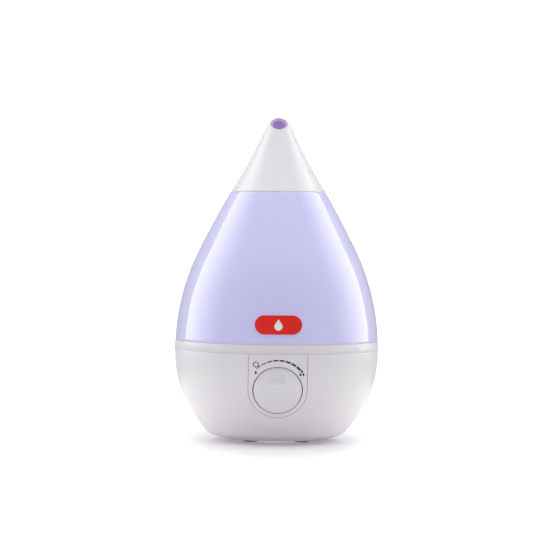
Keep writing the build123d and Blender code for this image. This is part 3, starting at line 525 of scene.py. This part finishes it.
class Bench:
    """Modelling by operators, one piece at a time."""

    @staticmethod
    def pick(piece: Piece) -> None:
        """Select one piece alone and make it active."""
        bpy.ops.object.select_all(action="DESELECT")
        piece.select_set(True)
        bpy.context.view_layer.objects.active = piece

    @staticmethod
    @contextmanager
    def editing(piece: Piece) -> Iterator[None]:
        """Edit mode on one piece, with everything selected at first."""
        Bench.pick(piece)
        bpy.ops.object.mode_set(mode="EDIT")
        bpy.ops.mesh.select_all(action="SELECT")
        yield
        bpy.ops.object.mode_set(mode="OBJECT")

    @staticmethod
    def wire(name: str, points: Sequence[Sequence[float]]) -> Piece:
        """Chain of edges drawn from a single point.

        Args:
            name: name of the new piece.
            points: places in order; the last may equal the first to close the chain.

        Returns:
            The new piece.
        """
        bpy.ops.object.select_all(action="DESELECT")
        bpy.ops.mesh.primitive_plane_add(size=0.001)
        piece = bpy.context.object
        piece.name = piece.data.name = name
        places = [Vector(point) for point in points]
        with Bench.editing(piece):
            bpy.ops.mesh.merge(type="CENTER")
            bpy.ops.transform.translate(value=places[0])
            for start, stop in zip(places, places[1:]):
                bpy.ops.mesh.extrude_vertices_move(TRANSFORM_OT_translate={"value": stop - start})
            bpy.ops.mesh.select_all(action="SELECT")
            bpy.ops.mesh.remove_doubles(threshold=FINE)
        return piece

    @staticmethod
    def lathe(name: str, outline: Sequence[Point], steps: int = ROUND_STEPS) -> Piece:
        """Turn an outline of radius and height about Z into a closed shape.

        Args:
            name: name of the new piece.
            outline: closed chain of (radius, height), or one that ends on the axis.
            steps: faces round the piece.

        Returns:
            The turned piece.
        """
        piece = Bench.wire(name, [(radius, 0.0, height) for radius, height in outline])
        with Bench.editing(piece):
            bpy.ops.mesh.spin(steps=steps, angle=2 * pi, center=(0, 0, 0), axis=(0, 0, 1))
            bpy.ops.mesh.select_all(action="SELECT")
            bpy.ops.mesh.remove_doubles(threshold=FINE)
            bpy.ops.mesh.normals_make_consistent(inside=False)
        return piece

    @staticmethod
    def prism(name: str, outline: Sequence[Point], low: float, high: float) -> Piece:
        """Raise a flat outline from one height to another.

        Args:
            name: name of the new piece.
            outline: corners in X and Y, in order, without the first again at the end.
            low: height of the lower face.
            high: height of the upper face.

        Returns:
            The closed prism.
        """
        piece = Bench.wire(name, [(x, y, low) for x, y in (*outline, outline[0])])
        with Bench.editing(piece):
            bpy.ops.mesh.edge_face_add()
            bpy.ops.mesh.extrude_region_move(TRANSFORM_OT_translate={"value": (0, 0, high - low)})
            bpy.ops.mesh.select_all(action="SELECT")
            bpy.ops.mesh.normals_make_consistent(inside=False)
        return piece

    @staticmethod
    def modify(piece: Piece, kind: str, **settings: object) -> None:
        """Add a modifier and apply it."""
        Bench.pick(piece)
        bpy.ops.object.modifier_add(type=kind)
        modifier = piece.modifiers[-1]
        for key, value in settings.items():
            setattr(modifier, key, value)
        bpy.ops.object.modifier_apply(modifier=modifier.name)

    @staticmethod
    def meet(piece: Piece, tool: Piece, how: Cut) -> None:
        """Cut or keep a piece with a tool piece, which is then removed."""
        Bench.modify(piece, "BOOLEAN", operation=how.value, solver="EXACT", object=tool)
        bpy.data.objects.remove(tool)

    @staticmethod
    def soften(piece: Piece, width: float, segments: int = 2, sharp: float = 40.0) -> None:
        """Round the edges that are sharper than an angle in degrees."""
        Bench.modify(
            piece,
            "BEVEL",
            width=width,
            segments=segments,
            limit_method="ANGLE",
            angle_limit=radians(sharp),
            use_clamp_overlap=True,
        )

    @staticmethod
    def shade(piece: Piece, sharp: float = 35.0) -> None:
        """Shade smooth across all but the sharp edges."""
        Bench.pick(piece)
        bpy.ops.object.shade_smooth_by_angle(angle=radians(sharp))

    @staticmethod
    def settle(piece: Piece, place: Matrix) -> None:
        """Move a piece to its place and put the place into its mesh."""
        piece.matrix_world = place @ piece.matrix_world
        Bench.pick(piece)
        bpy.ops.object.transform_apply(location=True, rotation=True, scale=True)

    @staticmethod
    def copy_node(node: str, name: str) -> Piece:
        """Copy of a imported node's mesh with its loose triangles merged."""
        piece = bpy.data.objects.new(name, frame["nodes"][node].data.copy())
        bpy.context.scene.collection.objects.link(piece)
        with Bench.editing(piece):
            bpy.ops.mesh.remove_doubles(threshold=FINE)
        return piece

    @staticmethod
    def join(name: str, pieces: Sequence[Piece]) -> Piece:
        """Make several pieces one, under a new name."""
        Bench.pick(pieces[0])
        for piece in pieces:
            piece.select_set(True)
        bpy.ops.object.join()
        joined = bpy.context.object
        joined.name = joined.data.name = name
        return joined

    @staticmethod
    def hand_over(piece: Piece, body: str, slot: str, *nodes: str, finish: str = "") -> None:
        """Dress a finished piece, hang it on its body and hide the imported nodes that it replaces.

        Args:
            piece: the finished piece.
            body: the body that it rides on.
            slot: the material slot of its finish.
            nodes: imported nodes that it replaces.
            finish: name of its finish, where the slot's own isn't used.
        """
        palette.dress(piece, finish or slot)
        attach(piece, body)
        if nodes:
            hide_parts(*nodes)
        log.info("%s: %d faces on %s", piece.name, len(piece.data.polygons), body)


def arc(centre: Point, radius: float, start: float, stop: float, count: int) -> list[Point]:
    """Points along a circular arc, with angles in degrees."""
    step = (stop - start) / count
    turns = [radians(start + step * index) for index in range(count + 1)]
    return [(centre[0] + radius * cos(turn), centre[1] + radius * sin(turn)) for turn in turns]


def facing(origin: Vector, normal: Vector) -> Matrix:
    """Placement whose Z is a normal in the YZ plane and whose X is the shared X."""
    across = Vector((1, 0, 0))
    up = normal.cross(across)
    turn = Matrix((across, up, normal)).transposed().to_4x4()
    return Matrix.Translation(origin) @ turn


# ---------------------------------------------------------------- shared outline


@dataclass(frozen=True)
class Teardrop:
    """Radii of the outer surface along the height, as the solid model has them."""

    body_radius: float = 0.108
    widest: float = 0.097
    bowl_arc: float = 0.12905
    tank_arc: float = 0.236
    shoulder: float = 0.2
    flank_arc: float = 0.9
    knuckle: float = 0.008
    band: float = 0.096
    seam: float = 0.106
    cone_seam: float = 0.2629
    cone_arc: float = 0.6
    tip: float = 0.3267
    tip_radius: float = 0.0134
    wall: float = 0.0025
    cone_wall: float = 0.0022
    half_gap: float = 0.00025
    line: float = 0.0001

    @property
    def bowl_top(self) -> float:
        """Top of the bowl, a fine line below the basin's band."""
        return self.band + self.half_gap - self.line

    @property
    def tank_low(self) -> float:
        """Bottom of the tank, a fine line above the basin's band."""
        return self.seam - self.half_gap + self.line

    def bowl(self, height: float, inset: float = 0.0) -> float:
        """Radius of the base's side at a height, or of the surface that far inside it."""
        centre = self.body_radius - self.bowl_arc
        return centre + sqrt((self.bowl_arc - inset) ** 2 - (height - self.widest) ** 2)

    def tank(self, height: float, inset: float = 0.0) -> float:
        """Radius of the tank's side at a height, or of the surface that far inside it."""
        centre = self.body_radius - self.tank_arc
        lean = asin((self.shoulder - self.widest) / self.tank_arc)
        if height <= self.widest + (self.tank_arc - inset) * sin(lean):
            return centre + sqrt((self.tank_arc - inset) ** 2 - (height - self.widest) ** 2)
        step = self.flank_arc - self.tank_arc
        flank_z = self.widest - step * sin(lean)
        return centre - step * cos(lean) + sqrt((self.flank_arc - inset) ** 2 - (height - flank_z) ** 2)

    def cone_centre(self) -> Point:
        """Centre, as radius and height, of the cone's hollow side."""
        seam_r = self.tank(self.cone_seam)
        across = hypot(seam_r, self.tip - self.cone_seam)
        along_r, along_z = -seam_r / across, (self.tip - self.cone_seam) / across
        reach = (self.cone_arc**2 - (self.cone_arc + self.tip_radius) ** 2 + across**2) / (2 * across)
        side = sqrt(self.cone_arc**2 - reach**2)
        return seam_r + reach * along_r + side * along_z, self.cone_seam + reach * along_z - side * along_r

    def cone(self, height: float, inset: float = 0.0) -> float:
        """Radius of the nozzle cone at a height, or of the surface that far inside it."""
        centre_r, centre_z = self.cone_centre()
        return centre_r - sqrt((self.cone_arc + inset) ** 2 - (height - centre_z) ** 2)

    @staticmethod
    def run(
        side: Callable[..., float], start: float, stop: float, count: int, inset: float = 0.0
    ) -> list[Point]:
        """Outline points between two heights on one of the sides."""
        heights = [start + (stop - start) * index / count for index in range(count + 1)]
        return [(side(height, inset), height) for height in heights]


SHAPE = Teardrop()


# ---------------------------------------------------------------- base


@dataclass
class Base:
    """Bowl with its control panel, basin band and underside."""

    shape: Teardrop = SHAPE
    dial_height: float = 0.0584
    dial_tilt: float = 14.0
    panel_half: float = 0.0303
    panel_gap: float = 0.00035
    panel_lap: float = 0.002
    cup_radius: float = 0.0258
    cup_wall: float = 0.0018
    cup_depth: float = 0.0098
    cup_floor: float = 0.002
    bushing: float = 0.0036
    flange_width: float = 0.017
    lip_width: float = 0.0014
    lip_depth: float = 0.0005
    gland_height: float = 0.024
    gland_radius: float = 0.00545
    edge: float = 0.00012
    copies: dict[str, tuple[str, str]] = field(
        default_factory=lambda: {
            "basin_moulding": ("water_basin", "white_plastic"),
            "underside_cover": ("bottom_cover", "white_plastic"),
            "feet": ("rubber_feet", "rubber_grey"),
            "cord_sleeve": ("cord_gland", "rubber_grey"),
        }
    )

    def dial_place(self, depth: float = 0.0) -> Matrix:
        """Placement on the bowl's surface at the dial, or that far inside it."""
        tilt = radians(self.dial_tilt)
        normal = Vector((0, -cos(tilt), -sin(tilt)))
        surface = Vector((0, -self.shape.bowl(self.dial_height), self.dial_height))
        return facing(surface - normal * depth, normal)

    def skin_outline(self, low: float, top: float) -> list[Point]:
        """Closed outline of the bowl's wall between two heights."""
        outer = Teardrop.run(self.shape.bowl, low, top, 44)
        inner = Teardrop.run(self.shape.bowl, top, low, 44, self.shape.wall)
        return [*outer, *inner, outer[0]]

    def u_prism(self, grow: float) -> Piece:
        """Prism of the U shape round the dial, through the front wall."""
        half = self.panel_half + grow
        top = self.shape.band - self.dial_height + self.panel_lap
        outline = [(-half, top), *arc((0, 0), half, 180, 360, 96), (half, top)]
        prism = Bench.prism("u_prism", outline, -0.03, 0.02)
        Bench.settle(prism, self.dial_place())
        return prism

    def bowl(self) -> Piece:
        """White bowl, open at the panel and at the cord entry."""
        shape = self.shape
        top = shape.bowl_top
        lip = shape.bowl(shape.knuckle) - self.lip_width
        seat = shape.knuckle + self.lip_depth
        flange_top = seat + shape.wall
        outline = [
            *Teardrop.run(shape.bowl, shape.knuckle, top, 48),
            *Teardrop.run(shape.bowl, top, flange_top, 40, shape.wall),
            (lip - self.flange_width, flange_top),
            (lip - self.flange_width, seat),
            (lip, seat),
            (lip, shape.knuckle),
            (shape.bowl(shape.knuckle), shape.knuckle),
        ]
        piece = Bench.lathe("bowl", outline)
        Bench.soften(piece, self.edge)
        Bench.meet(piece, self.u_prism(self.panel_gap), Cut.AWAY)
        hole = Bench.lathe(
            "gland_hole",
            [(0, -0.01), (self.gland_radius, -0.01), (self.gland_radius, 0.01), (0, 0.01)],
            48,
        )
        lean = asin((shape.widest - self.gland_height) / shape.bowl_arc)
        surface = Vector((0, shape.bowl(self.gland_height), self.gland_height))
        Bench.settle(hole, facing(surface, Vector((0, cos(lean), -sin(lean)))))
        Bench.meet(piece, hole, Cut.AWAY)
        Bench.shade(piece)
        return piece

    def panel(self) -> Piece:
        """U-shaped panel with the round opening for the dial."""
        shape = self.shape
        piece = Bench.lathe("panel", self.skin_outline(0.018, shape.bowl_top))
        Bench.meet(piece, self.u_prism(0.0), Cut.KEEP)
        bore = Bench.lathe(
            "cup_bore",
            [(0, -self.cup_depth), (self.cup_radius, -self.cup_depth), (self.cup_radius, 0.02), (0, 0.02)],
        )
        Bench.settle(bore, self.dial_place())
        Bench.meet(piece, bore, Cut.AWAY)
        Bench.shade(piece)
        return piece

    def cup(self) -> Piece:
        """Round cup behind the panel, painted dark as shadow in its narrow gap and pale as light lower down.
        """
        shape = self.shape
        reach = self.cup_depth + self.cup_floor
        outer = self.cup_radius + self.cup_wall
        cup = Bench.lathe(
            "cup",
            [
                (self.bushing, -reach),
                (outer, -reach),
                (outer, 0.02),
                (self.cup_radius, 0.02),
                (self.cup_radius, -self.cup_depth),
                (self.bushing, -self.cup_depth),
                (self.bushing, -reach),
            ],
        )
        Bench.settle(cup, self.dial_place())
        core = Bench.lathe(
            "core",
            [(0, 0.018), *Teardrop.run(shape.bowl, 0.018, shape.band, 44, shape.wall * 0.5), (0, shape.band)],
        )
        Bench.meet(cup, core, Cut.KEEP)
        Bench.shade(cup)
        return cup

    def build(self) -> None:
        """Make the base's pieces and hang them on its body."""
        Bench.hand_over(self.bowl(), "base", "white_plastic", "bowl_housing")
        Bench.hand_over(self.panel(), "base", "white_plastic", "control_panel")
        # the cup wears painted shade: dark as shadow at its top, pale as light at its foot
        Bench.hand_over(self.cup(), "base", "white_plastic", finish="cup_painted_shade")
        for name, (node, slot) in self.copies.items():
            piece = Bench.copy_node(node, name)
            Bench.shade(piece, 30.0)
            Bench.hand_over(piece, "base", slot, node)


# ---------------------------------------------------------------- dial and its printed marks


@dataclass
class Dial:
    """Turning dial with a thumb dimple near its rim."""

    base: Base
    radius: float = 0.025
    inset: float = 0.003
    depth: float = 0.006
    crown: float = 0.006
    skin: float = 0.0016
    rim_round: float = 0.0016
    dimple_offset: float = 0.0144
    dimple_radius: float = 0.0082
    dimple_ball: float = 0.013
    hub_radius: float = 0.0055
    hub_depth: float = 0.004
    bore: float = 0.00305

    def knob(self) -> Piece:
        """The dial, turned from its outline and scooped by a ball."""
        crown_arc = (self.radius**2 + self.crown**2) / (2 * self.crown)
        centre = self.depth + self.crown - crown_arc
        flat = self.radius - self.rim_round
        face = [
            (radius, centre + sqrt(crown_arc**2 - radius**2))
            for radius in (flat * index / 24 for index in range(25))
        ]
        shoulder = face[-1][1] - self.rim_round
        inner = self.radius - 0.002
        outline = [
            *face,
            *arc((flat, shoulder), self.rim_round, 84, 0, 8),
            (self.radius, 0.0),
            (inner, 0.0),
            (inner, self.depth - self.skin),
            (self.hub_radius, self.depth - self.skin),
            (self.hub_radius, self.depth - self.hub_depth),
            (self.bore, self.depth - self.hub_depth),
            (self.bore, self.depth - self.skin),
            (0.0, self.depth - self.skin),
        ]
        piece = Bench.lathe("dial", outline, 144)
        rise = self.depth + self.crown * (1 - (self.dimple_offset / self.radius) ** 2)
        bpy.ops.object.select_all(action="DESELECT")
        bpy.ops.mesh.primitive_uv_sphere_add(
            segments=96,
            ring_count=96,
            radius=self.dimple_ball,
            location=(0, self.dimple_offset, rise + sqrt(self.dimple_ball**2 - self.dimple_radius**2)),
        )
        ball = bpy.context.object
        Bench.meet(piece, ball, Cut.AWAY)
        Bench.soften(piece, 0.0005, 3, 15.0)
        Bench.settle(piece, self.base.dial_place(self.inset + self.depth))
        Bench.shade(piece, 50.0)
        return piece

    def build(self) -> None:
        """Make the dial and hang it on its body."""
        Bench.hand_over(self.knob(), "dial", "dial_plastic", "dial_knob")


@dataclass
class DialPrint:
    """Marks printed round the dial: growing dashes, drops and a power sign."""

    base: Base
    ring: float = 0.0317
    first: float = -44.0
    pitch: float = 11.6
    dash: float = 9.6
    dashes: int = 8
    thin: float = 0.0007
    thick: float = 0.0024
    film: float = 0.00006
    sign_radius: float = 0.0031
    sign_line: float = 0.0008
    sign_gap: float = 32.0
    drop: float = 0.00115

    def at(self, angle: float, radius: float) -> Point:
        """Place at an angle clockwise from the top of the dial."""
        return radius * sin(radians(angle)), radius * cos(radians(angle))

    def bow(self, start: float, stop: float, begin: float, end: float) -> list[Point]:
        """Curved dash on the ring, from one thickness to another."""
        steps = 8
        spots = []
        for index in range(steps + 1):
            share = index / steps
            half = (begin + (end - begin) * share) / 2
            spots.append((start + (stop - start) * share, half))
        outer = [self.at(angle, self.ring + half) for angle, half in spots]
        inner = [self.at(angle, self.ring - half) for angle, half in reversed(spots)]
        return outer + inner

    def tear(self, x: float, y: float) -> list[Point]:
        """Outline of a small drop with its point up."""
        tip = 2.2 * self.drop
        round_part = arc((x, y), self.drop, 140, 400, 16)
        return [*round_part, (x, y + tip)]

    def power(self, x: float, y: float) -> list[list[Point]]:
        """Outlines of an open ring and a short bar."""
        start, stop = 90 + self.sign_gap, 450 - self.sign_gap
        outer = arc((x, y), self.sign_radius, start, stop, 40)
        inner = arc((x, y), self.sign_radius - self.sign_line, stop, start, 40)
        half, low, high = self.sign_line / 2, y + 0.0009, y + self.sign_radius + 0.0003
        return [outer + inner, [(x - half, low), (x + half, low), (x + half, high), (x - half, high)]]

    def lay(self, name: str, outlines: Sequence[Sequence[Point]]) -> Piece:
        """Make thin marks that follow the base's curved surface.

        Args:
            name: name of the new piece.
            outlines: flat outlines about the dial's centre, seen from the front.

        Returns:
            The marks as one piece.
        """
        marks = [Bench.prism(f"{name}_{index}", outline, 0.0, 0.01) for index, outline in enumerate(outlines)]
        piece = Bench.join(name, marks)
        ground = Vector((0, 0, self.base.dial_height))
        Bench.settle(piece, facing(ground, Vector((0, -1, 0))))
        for vertex in piece.data.vertices:
            spot = vertex.co
            lift = self.film if spot.y < -0.005 else -self.film
            spot.y = -sqrt((self.base.shape.bowl(spot.z) + lift) ** 2 - spot.x**2)
        return piece

    def build(self) -> None:
        """Make the marks and hang them on the base."""
        grow = (self.thick - self.thin) / self.dashes
        rows = []
        for index in range(self.dashes):
            start = self.first + index * self.pitch
            begin = self.thin + index * grow
            rows.append(self.bow(start, start + self.dash, begin, begin + grow))
        drops = [self.tear(-0.0227, 0.0186)]
        drops += [self.tear(x, y) for x, y in ((0.0246, 0.0203), (0.0231, 0.0170), (0.0261, 0.0170))]
        for piece in (
            self.lay("dash_marks", rows),
            self.lay("drop_marks", drops),
            self.lay("power_mark", self.power(-0.0227, 0.0276)),
        ):
            Bench.hand_over(piece, "base", "black_plastic", finish="print_grey")


# ---------------------------------------------------------------- tank


@dataclass
class Tank:
    """Translucent tank with its floor, chimney, badge and filler cap."""

    shape: Teardrop = SHAPE
    deck_depth: float = 0.006
    chimney_outer: float = 0.01805
    edge: float = 0.0004
    copies: dict[str, tuple[str, str, str]] = field(
        default_factory=lambda: {
            "tank_base": ("tank_floor", "tank", "tank_tint"),
            "chimney": ("mist_chimney", "tank", "tank_tint"),
            "badge_plate": ("badge", "tank", "badge_red"),
            "badge_drop": ("badge_emblem", "tank", "badge_white"),
            "filler_cap": ("tank_cap", "cap", "white_plastic"),
        }
    )

    def shell(self) -> Piece:
        """Tank wall with its top deck and open collar."""
        shape = self.shape
        low, top = shape.tank_low, shape.cone_seam - shape.half_gap
        deck = shape.cone_seam - self.deck_depth
        under = deck - shape.wall
        outer = Teardrop.run(shape.tank, low, top, 60)
        outline = [
            *outer,
            *Teardrop.run(shape.tank, top, deck, 4, shape.wall),
            (self.chimney_outer, deck),
            (self.chimney_outer, under),
            *Teardrop.run(shape.tank, under, low, 50, shape.wall),
            outer[0],
        ]
        piece = Bench.lathe("tank", outline)
        Bench.soften(piece, self.edge)
        Bench.shade(piece)
        return piece

    def build(self) -> None:
        """Make the tank's pieces and hang them on their bodies."""
        Bench.hand_over(self.shell(), "tank", "tank_tint", "tank_shell")
        for name, (node, body, slot) in self.copies.items():
            piece = Bench.copy_node(node, name)
            Bench.shade(piece, 30.0)
            Bench.hand_over(piece, body, slot, node)


# ---------------------------------------------------------------- nozzle


@dataclass
class Nozzle:
    """White cone with a slanted mouth, a rolled rim and a purple liner, on its lid ring."""

    shape: Teardrop = SHAPE
    elevation: float = 46.0
    rim_radius: float = 0.0096
    mouth_radius: float = 0.0086
    mouth_depth: float = 0.004
    bottom: float = 0.26275
    edge: float = 0.0003

    def mouth_place(self) -> Matrix:
        """Placement of the mouth's circle on the round tip."""
        turn = radians(90 - self.elevation)
        normal = Vector((0, -sin(turn), cos(turn)))
        reach = sqrt(self.shape.tip_radius**2 - self.rim_radius**2)
        return facing(Vector((0, 0, self.shape.tip)) + normal * reach, normal)

    def cone(self) -> Piece:
        """The cone's skin, open at the mouth where the rolled rim sits."""
        shape = self.shape
        centre_r, centre_z = shape.cone_centre()
        tangent = asin((centre_z - shape.tip) / hypot(centre_r, centre_z - shape.tip))
        start = tangent * 180 / pi
        joint = shape.tip + shape.tip_radius * sin(tangent)
        inner_radius = shape.tip_radius - shape.cone_wall
        inner_joint = shape.tip + inner_radius * sin(tangent)
        outer = Teardrop.run(shape.cone, self.bottom, joint, 40)
        outline = [
            *outer,
            *arc((0, shape.tip), shape.tip_radius, start, 90, 24)[1:],
            *arc((0, shape.tip), inner_radius, 90, start, 16),
            *Teardrop.run(shape.cone, inner_joint, self.bottom, 32, shape.cone_wall)[1:],
            outer[0],
        ]
        piece = Bench.lathe("cone", outline)
        Bench.soften(piece, self.edge)
        groove = 0.0003
        cutter = Bench.lathe(
            "mouth_cut",
            [(0, -0.004), (self.rim_radius - groove, -0.004), (self.rim_radius - groove, 0.006), (0, 0.006)],
            96,
        )
        Bench.settle(cutter, self.mouth_place())
        Bench.meet(piece, cutter, Cut.AWAY)
        Bench.shade(piece)
        return piece

    def rim(self) -> Piece:
        """Rolled rim round the mouth."""
        roll = (self.rim_radius - self.mouth_radius) / 2
        middle = self.mouth_radius + roll
        outline = [
            (self.rim_radius - 0.0001, -self.mouth_depth),
            *arc((middle, -roll * 0.8), roll - 0.00005, 0, 180, 16),
            (self.mouth_radius + 0.0001, -self.mouth_depth),
            (self.rim_radius - 0.0001, -self.mouth_depth),
        ]
        piece = Bench.lathe("mouth_rim", outline, 96)
        Bench.settle(piece, self.mouth_place())
        Bench.shade(piece)
        return piece

    def build(self) -> None:
        """Make the nozzle's pieces and hang them on their bodies."""
        Bench.hand_over(self.cone(), "nozzle", "white_plastic", "nozzle_cone")
        Bench.hand_over(self.rim(), "nozzle", "white_plastic")
        for name, node, body, slot in (
            ("liner", "nozzle_liner", "nozzle", "liner_purple"),
            ("lid", "lid_ring", "lid", "white_plastic"),
        ):
            piece = Bench.copy_node(node, name)
            Bench.shade(piece, 30.0)
            Bench.hand_over(piece, body, slot, node)


# ---------------------------------------------------------------- studio


@dataclass
class Studio:
    """Pale floor, soft lights and the camera."""

    elevation: float = 1.92
    turn: float = -1.0
    distance: float = 3.1
    view_width: float = 0.5925
    aim: tuple[float, float, float] = (0.0029, 0.0, 0.169)
    roll: float = 0.63
    floor_radius: float = 0.36
    # the floor's glow is painted dimmer near the object as a painted shadow, squeezed sideways, with a
    # brighter painted glow hidden under it
    floor_squeeze: float = 6.0
    floor_shadow: tuple[float, float] = (0.08, 0.38)
    painted_under_glow_reach: tuple[float, float] = (0.02, 0.045)
    panel_reach: float = 1.5
    panel_from: float = 56.0
    panel_to: float = 122.0
    panel_power: float = 3.2
    panel_height: float = 2.4
    sky_given: float = 0.38
    sky_seen: float = 1.1
    lamps: tuple[tuple[str, tuple[float, float, float], float, float, bool], ...] = (
        ("overhead", (0.0, -0.3, 2.2), 1.6, 17.0, False),
        ("top_front", (0.0, -1.5, 2.3), 1.8, 23.0, False),
        ("behind", (0.0, 1.7, 0.5), 1.2, 10.0, True),
    )

    def camera(self) -> None:
        """Camera a little above the middle of the front."""
        data = bpy.data.cameras.new("camera")
        data.sensor_width = 36.0
        data.lens = data.sensor_width * self.distance / self.view_width
        data.clip_end = 100.0
        camera = bpy.data.objects.new("camera", data)
        bpy.context.scene.collection.objects.link(camera)
        rise = radians(self.elevation)
        aside = Matrix.Rotation(radians(self.turn), 3, "Z")
        camera.location = Vector(self.aim) + aside @ (self.distance * Vector((0, -cos(rise), sin(rise))))
        tip = Matrix.Rotation(radians(90 - self.elevation), 3, "X")
        tip @= Matrix.Rotation(radians(self.roll), 3, "Z")
        camera.rotation_euler = (aside @ tip).to_euler()
        bpy.context.scene.camera = camera

    def floor(self) -> None:
        """Round white floor whose glow is painted dim near the object as a painted shadow, besides the lamps'
        real shadow, with a brighter painted glow hidden under the object that lights the base from below.
        """
        bpy.ops.object.select_all(action="DESELECT")
        bpy.ops.mesh.primitive_circle_add(vertices=128, radius=self.floor_radius, fill_type="NGON")
        floor = bpy.context.object
        floor.name = "floor"
        shade = Shade("floor_white")
        across = shade.axis(0) ** 2.0
        ahead = shade.axis(1) ** 2.0
        # painted glow under the object, hidden from the camera, that lights the base from below
        under = ((across + ahead) ** 0.5).spread(*self.painted_under_glow_reach)
        # painted shadow: the glow dims near the object, in a narrow shape that falls forward
        painted_shadow_fade = ((across * self.floor_squeeze + ahead) ** 0.5).spread(*self.floor_shadow)
        cloud = shade.noise(2.0)
        shade.surface(
            Base_Color=shade.mix(cloud, (0.47, 0.465, 0.475), (0.49, 0.485, 0.49)),
            Roughness=0.7,
            # emission: painted glow under the object, dim painted shadow round it, bright open floor further
            # out
            Emission_Color=shade.mix(
                painted_shadow_fade, shade.mix(under, (0.5, 0.49, 0.5), (0.2, 0.19, 0.2)), (0.66, 0.66, 0.665)
            ),
            Emission_Strength=1.0,
        )
        floor.data.materials.append(shade.material)

    def side_panel(self, side: int) -> None:
        """Curved soft panel at one side, brightest at its rear edge."""
        reach = self.panel_reach
        edge = arc((0.0, 0.0), reach, self.panel_from, self.panel_to, 24)
        name = f"panel_{'left' if side < 0 else 'right'}"
        panel = Bench.wire(name, [(side * across, -ahead, 0.0) for ahead, across in edge])
        with Bench.editing(panel):
            bpy.ops.mesh.extrude_region_move(TRANSFORM_OT_translate={"value": (0, 0, self.panel_height)})
        shade = Shade(f"{panel.name}_glow")
        ramp = shade.axis(1).spread(-reach * 0.5, reach * 0.5)
        shade.surface(
            Base_Color=(0.0, 0.0, 0.0),
            Emission_Color=shade.mix(ramp, (0.0, 0.0, 0.0), (1.0, 1.0, 1.0)),
            Emission_Strength=self.panel_power,
        )
        panel.data.materials.append(shade.material)
        panel.visible_camera = False

    def lamp(self, name: str, place: Sequence[float], size: float, power: float, shines: bool) -> None:
        """Square soft light that looks at the object's middle.

        Args:
            name: name of the light.
            place: where its centre is.
            size: length of its side.
            power: its power in watts.
            shines: whether glossy surfaces mirror it.
        """
        data = bpy.data.lights.new(name, "AREA")
        data.size = size
        data.energy = power
        lamp = bpy.data.objects.new(name, data)
        bpy.context.scene.collection.objects.link(lamp)
        lamp.location = place
        aim = Vector((0, 0, 0.15)) - Vector(place)
        lamp.rotation_euler = aim.to_track_quat("-Z", "Y").to_euler()
        lamp.visible_glossy = shines

    def sky(self) -> None:
        """Even surround: white to the camera, dimmer as a source of light."""
        world = bpy.data.worlds.new("surround")
        bpy.context.scene.world = world
        world.use_nodes = True
        tree = world.node_tree
        tree.nodes.clear()
        path = tree.nodes.new("ShaderNodeLightPath")
        seen = tree.nodes.new("ShaderNodeBackground")
        seen.inputs["Strength"].default_value = self.sky_seen
        seen.inputs["Color"].default_value = (1.0, 1.0, 1.0, 1.0)
        given = tree.nodes.new("ShaderNodeBackground")
        given.inputs["Color"].default_value = (0.95, 0.95, 1.0, 1.0)
        given.inputs["Strength"].default_value = self.sky_given
        blend = tree.nodes.new("ShaderNodeMixShader")
        end = tree.nodes.new("ShaderNodeOutputWorld")
        tree.links.new(path.outputs["Is Camera Ray"], blend.inputs[0])
        tree.links.new(given.outputs[0], blend.inputs[1])
        tree.links.new(seen.outputs[0], blend.inputs[2])
        tree.links.new(blend.outputs[0], end.inputs["Surface"])

    def build(self) -> None:
        """Set up everything that isn't the object."""
        bpy.context.scene.view_settings.view_transform = "Standard"
        self.camera()
        self.floor()
        self.side_panel(-1)
        self.side_panel(1)
        for lamp in self.lamps:
            self.lamp(*lamp)
        self.sky()


def dress_packed_nodes() -> None:
    """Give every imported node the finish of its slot."""
    for part in frame["record"]["subparts"]:
        palette.dress_node(part["node"], part["material_slot"])
        log.info("%s: dressed in %s", part["node"], part["material_slot"])


def main() -> None:
    """Build the looks piece by piece, in order."""
    logging.basicConfig(level=logging.INFO, format="%(message)s")
    Studio().build()
    dress_packed_nodes()
    base = Base()
    base.build()
    Dial(base).build()
    DialPrint(base).build()
    Tank().build()
    Nozzle().build()


if __name__ == "__main__":
    main()
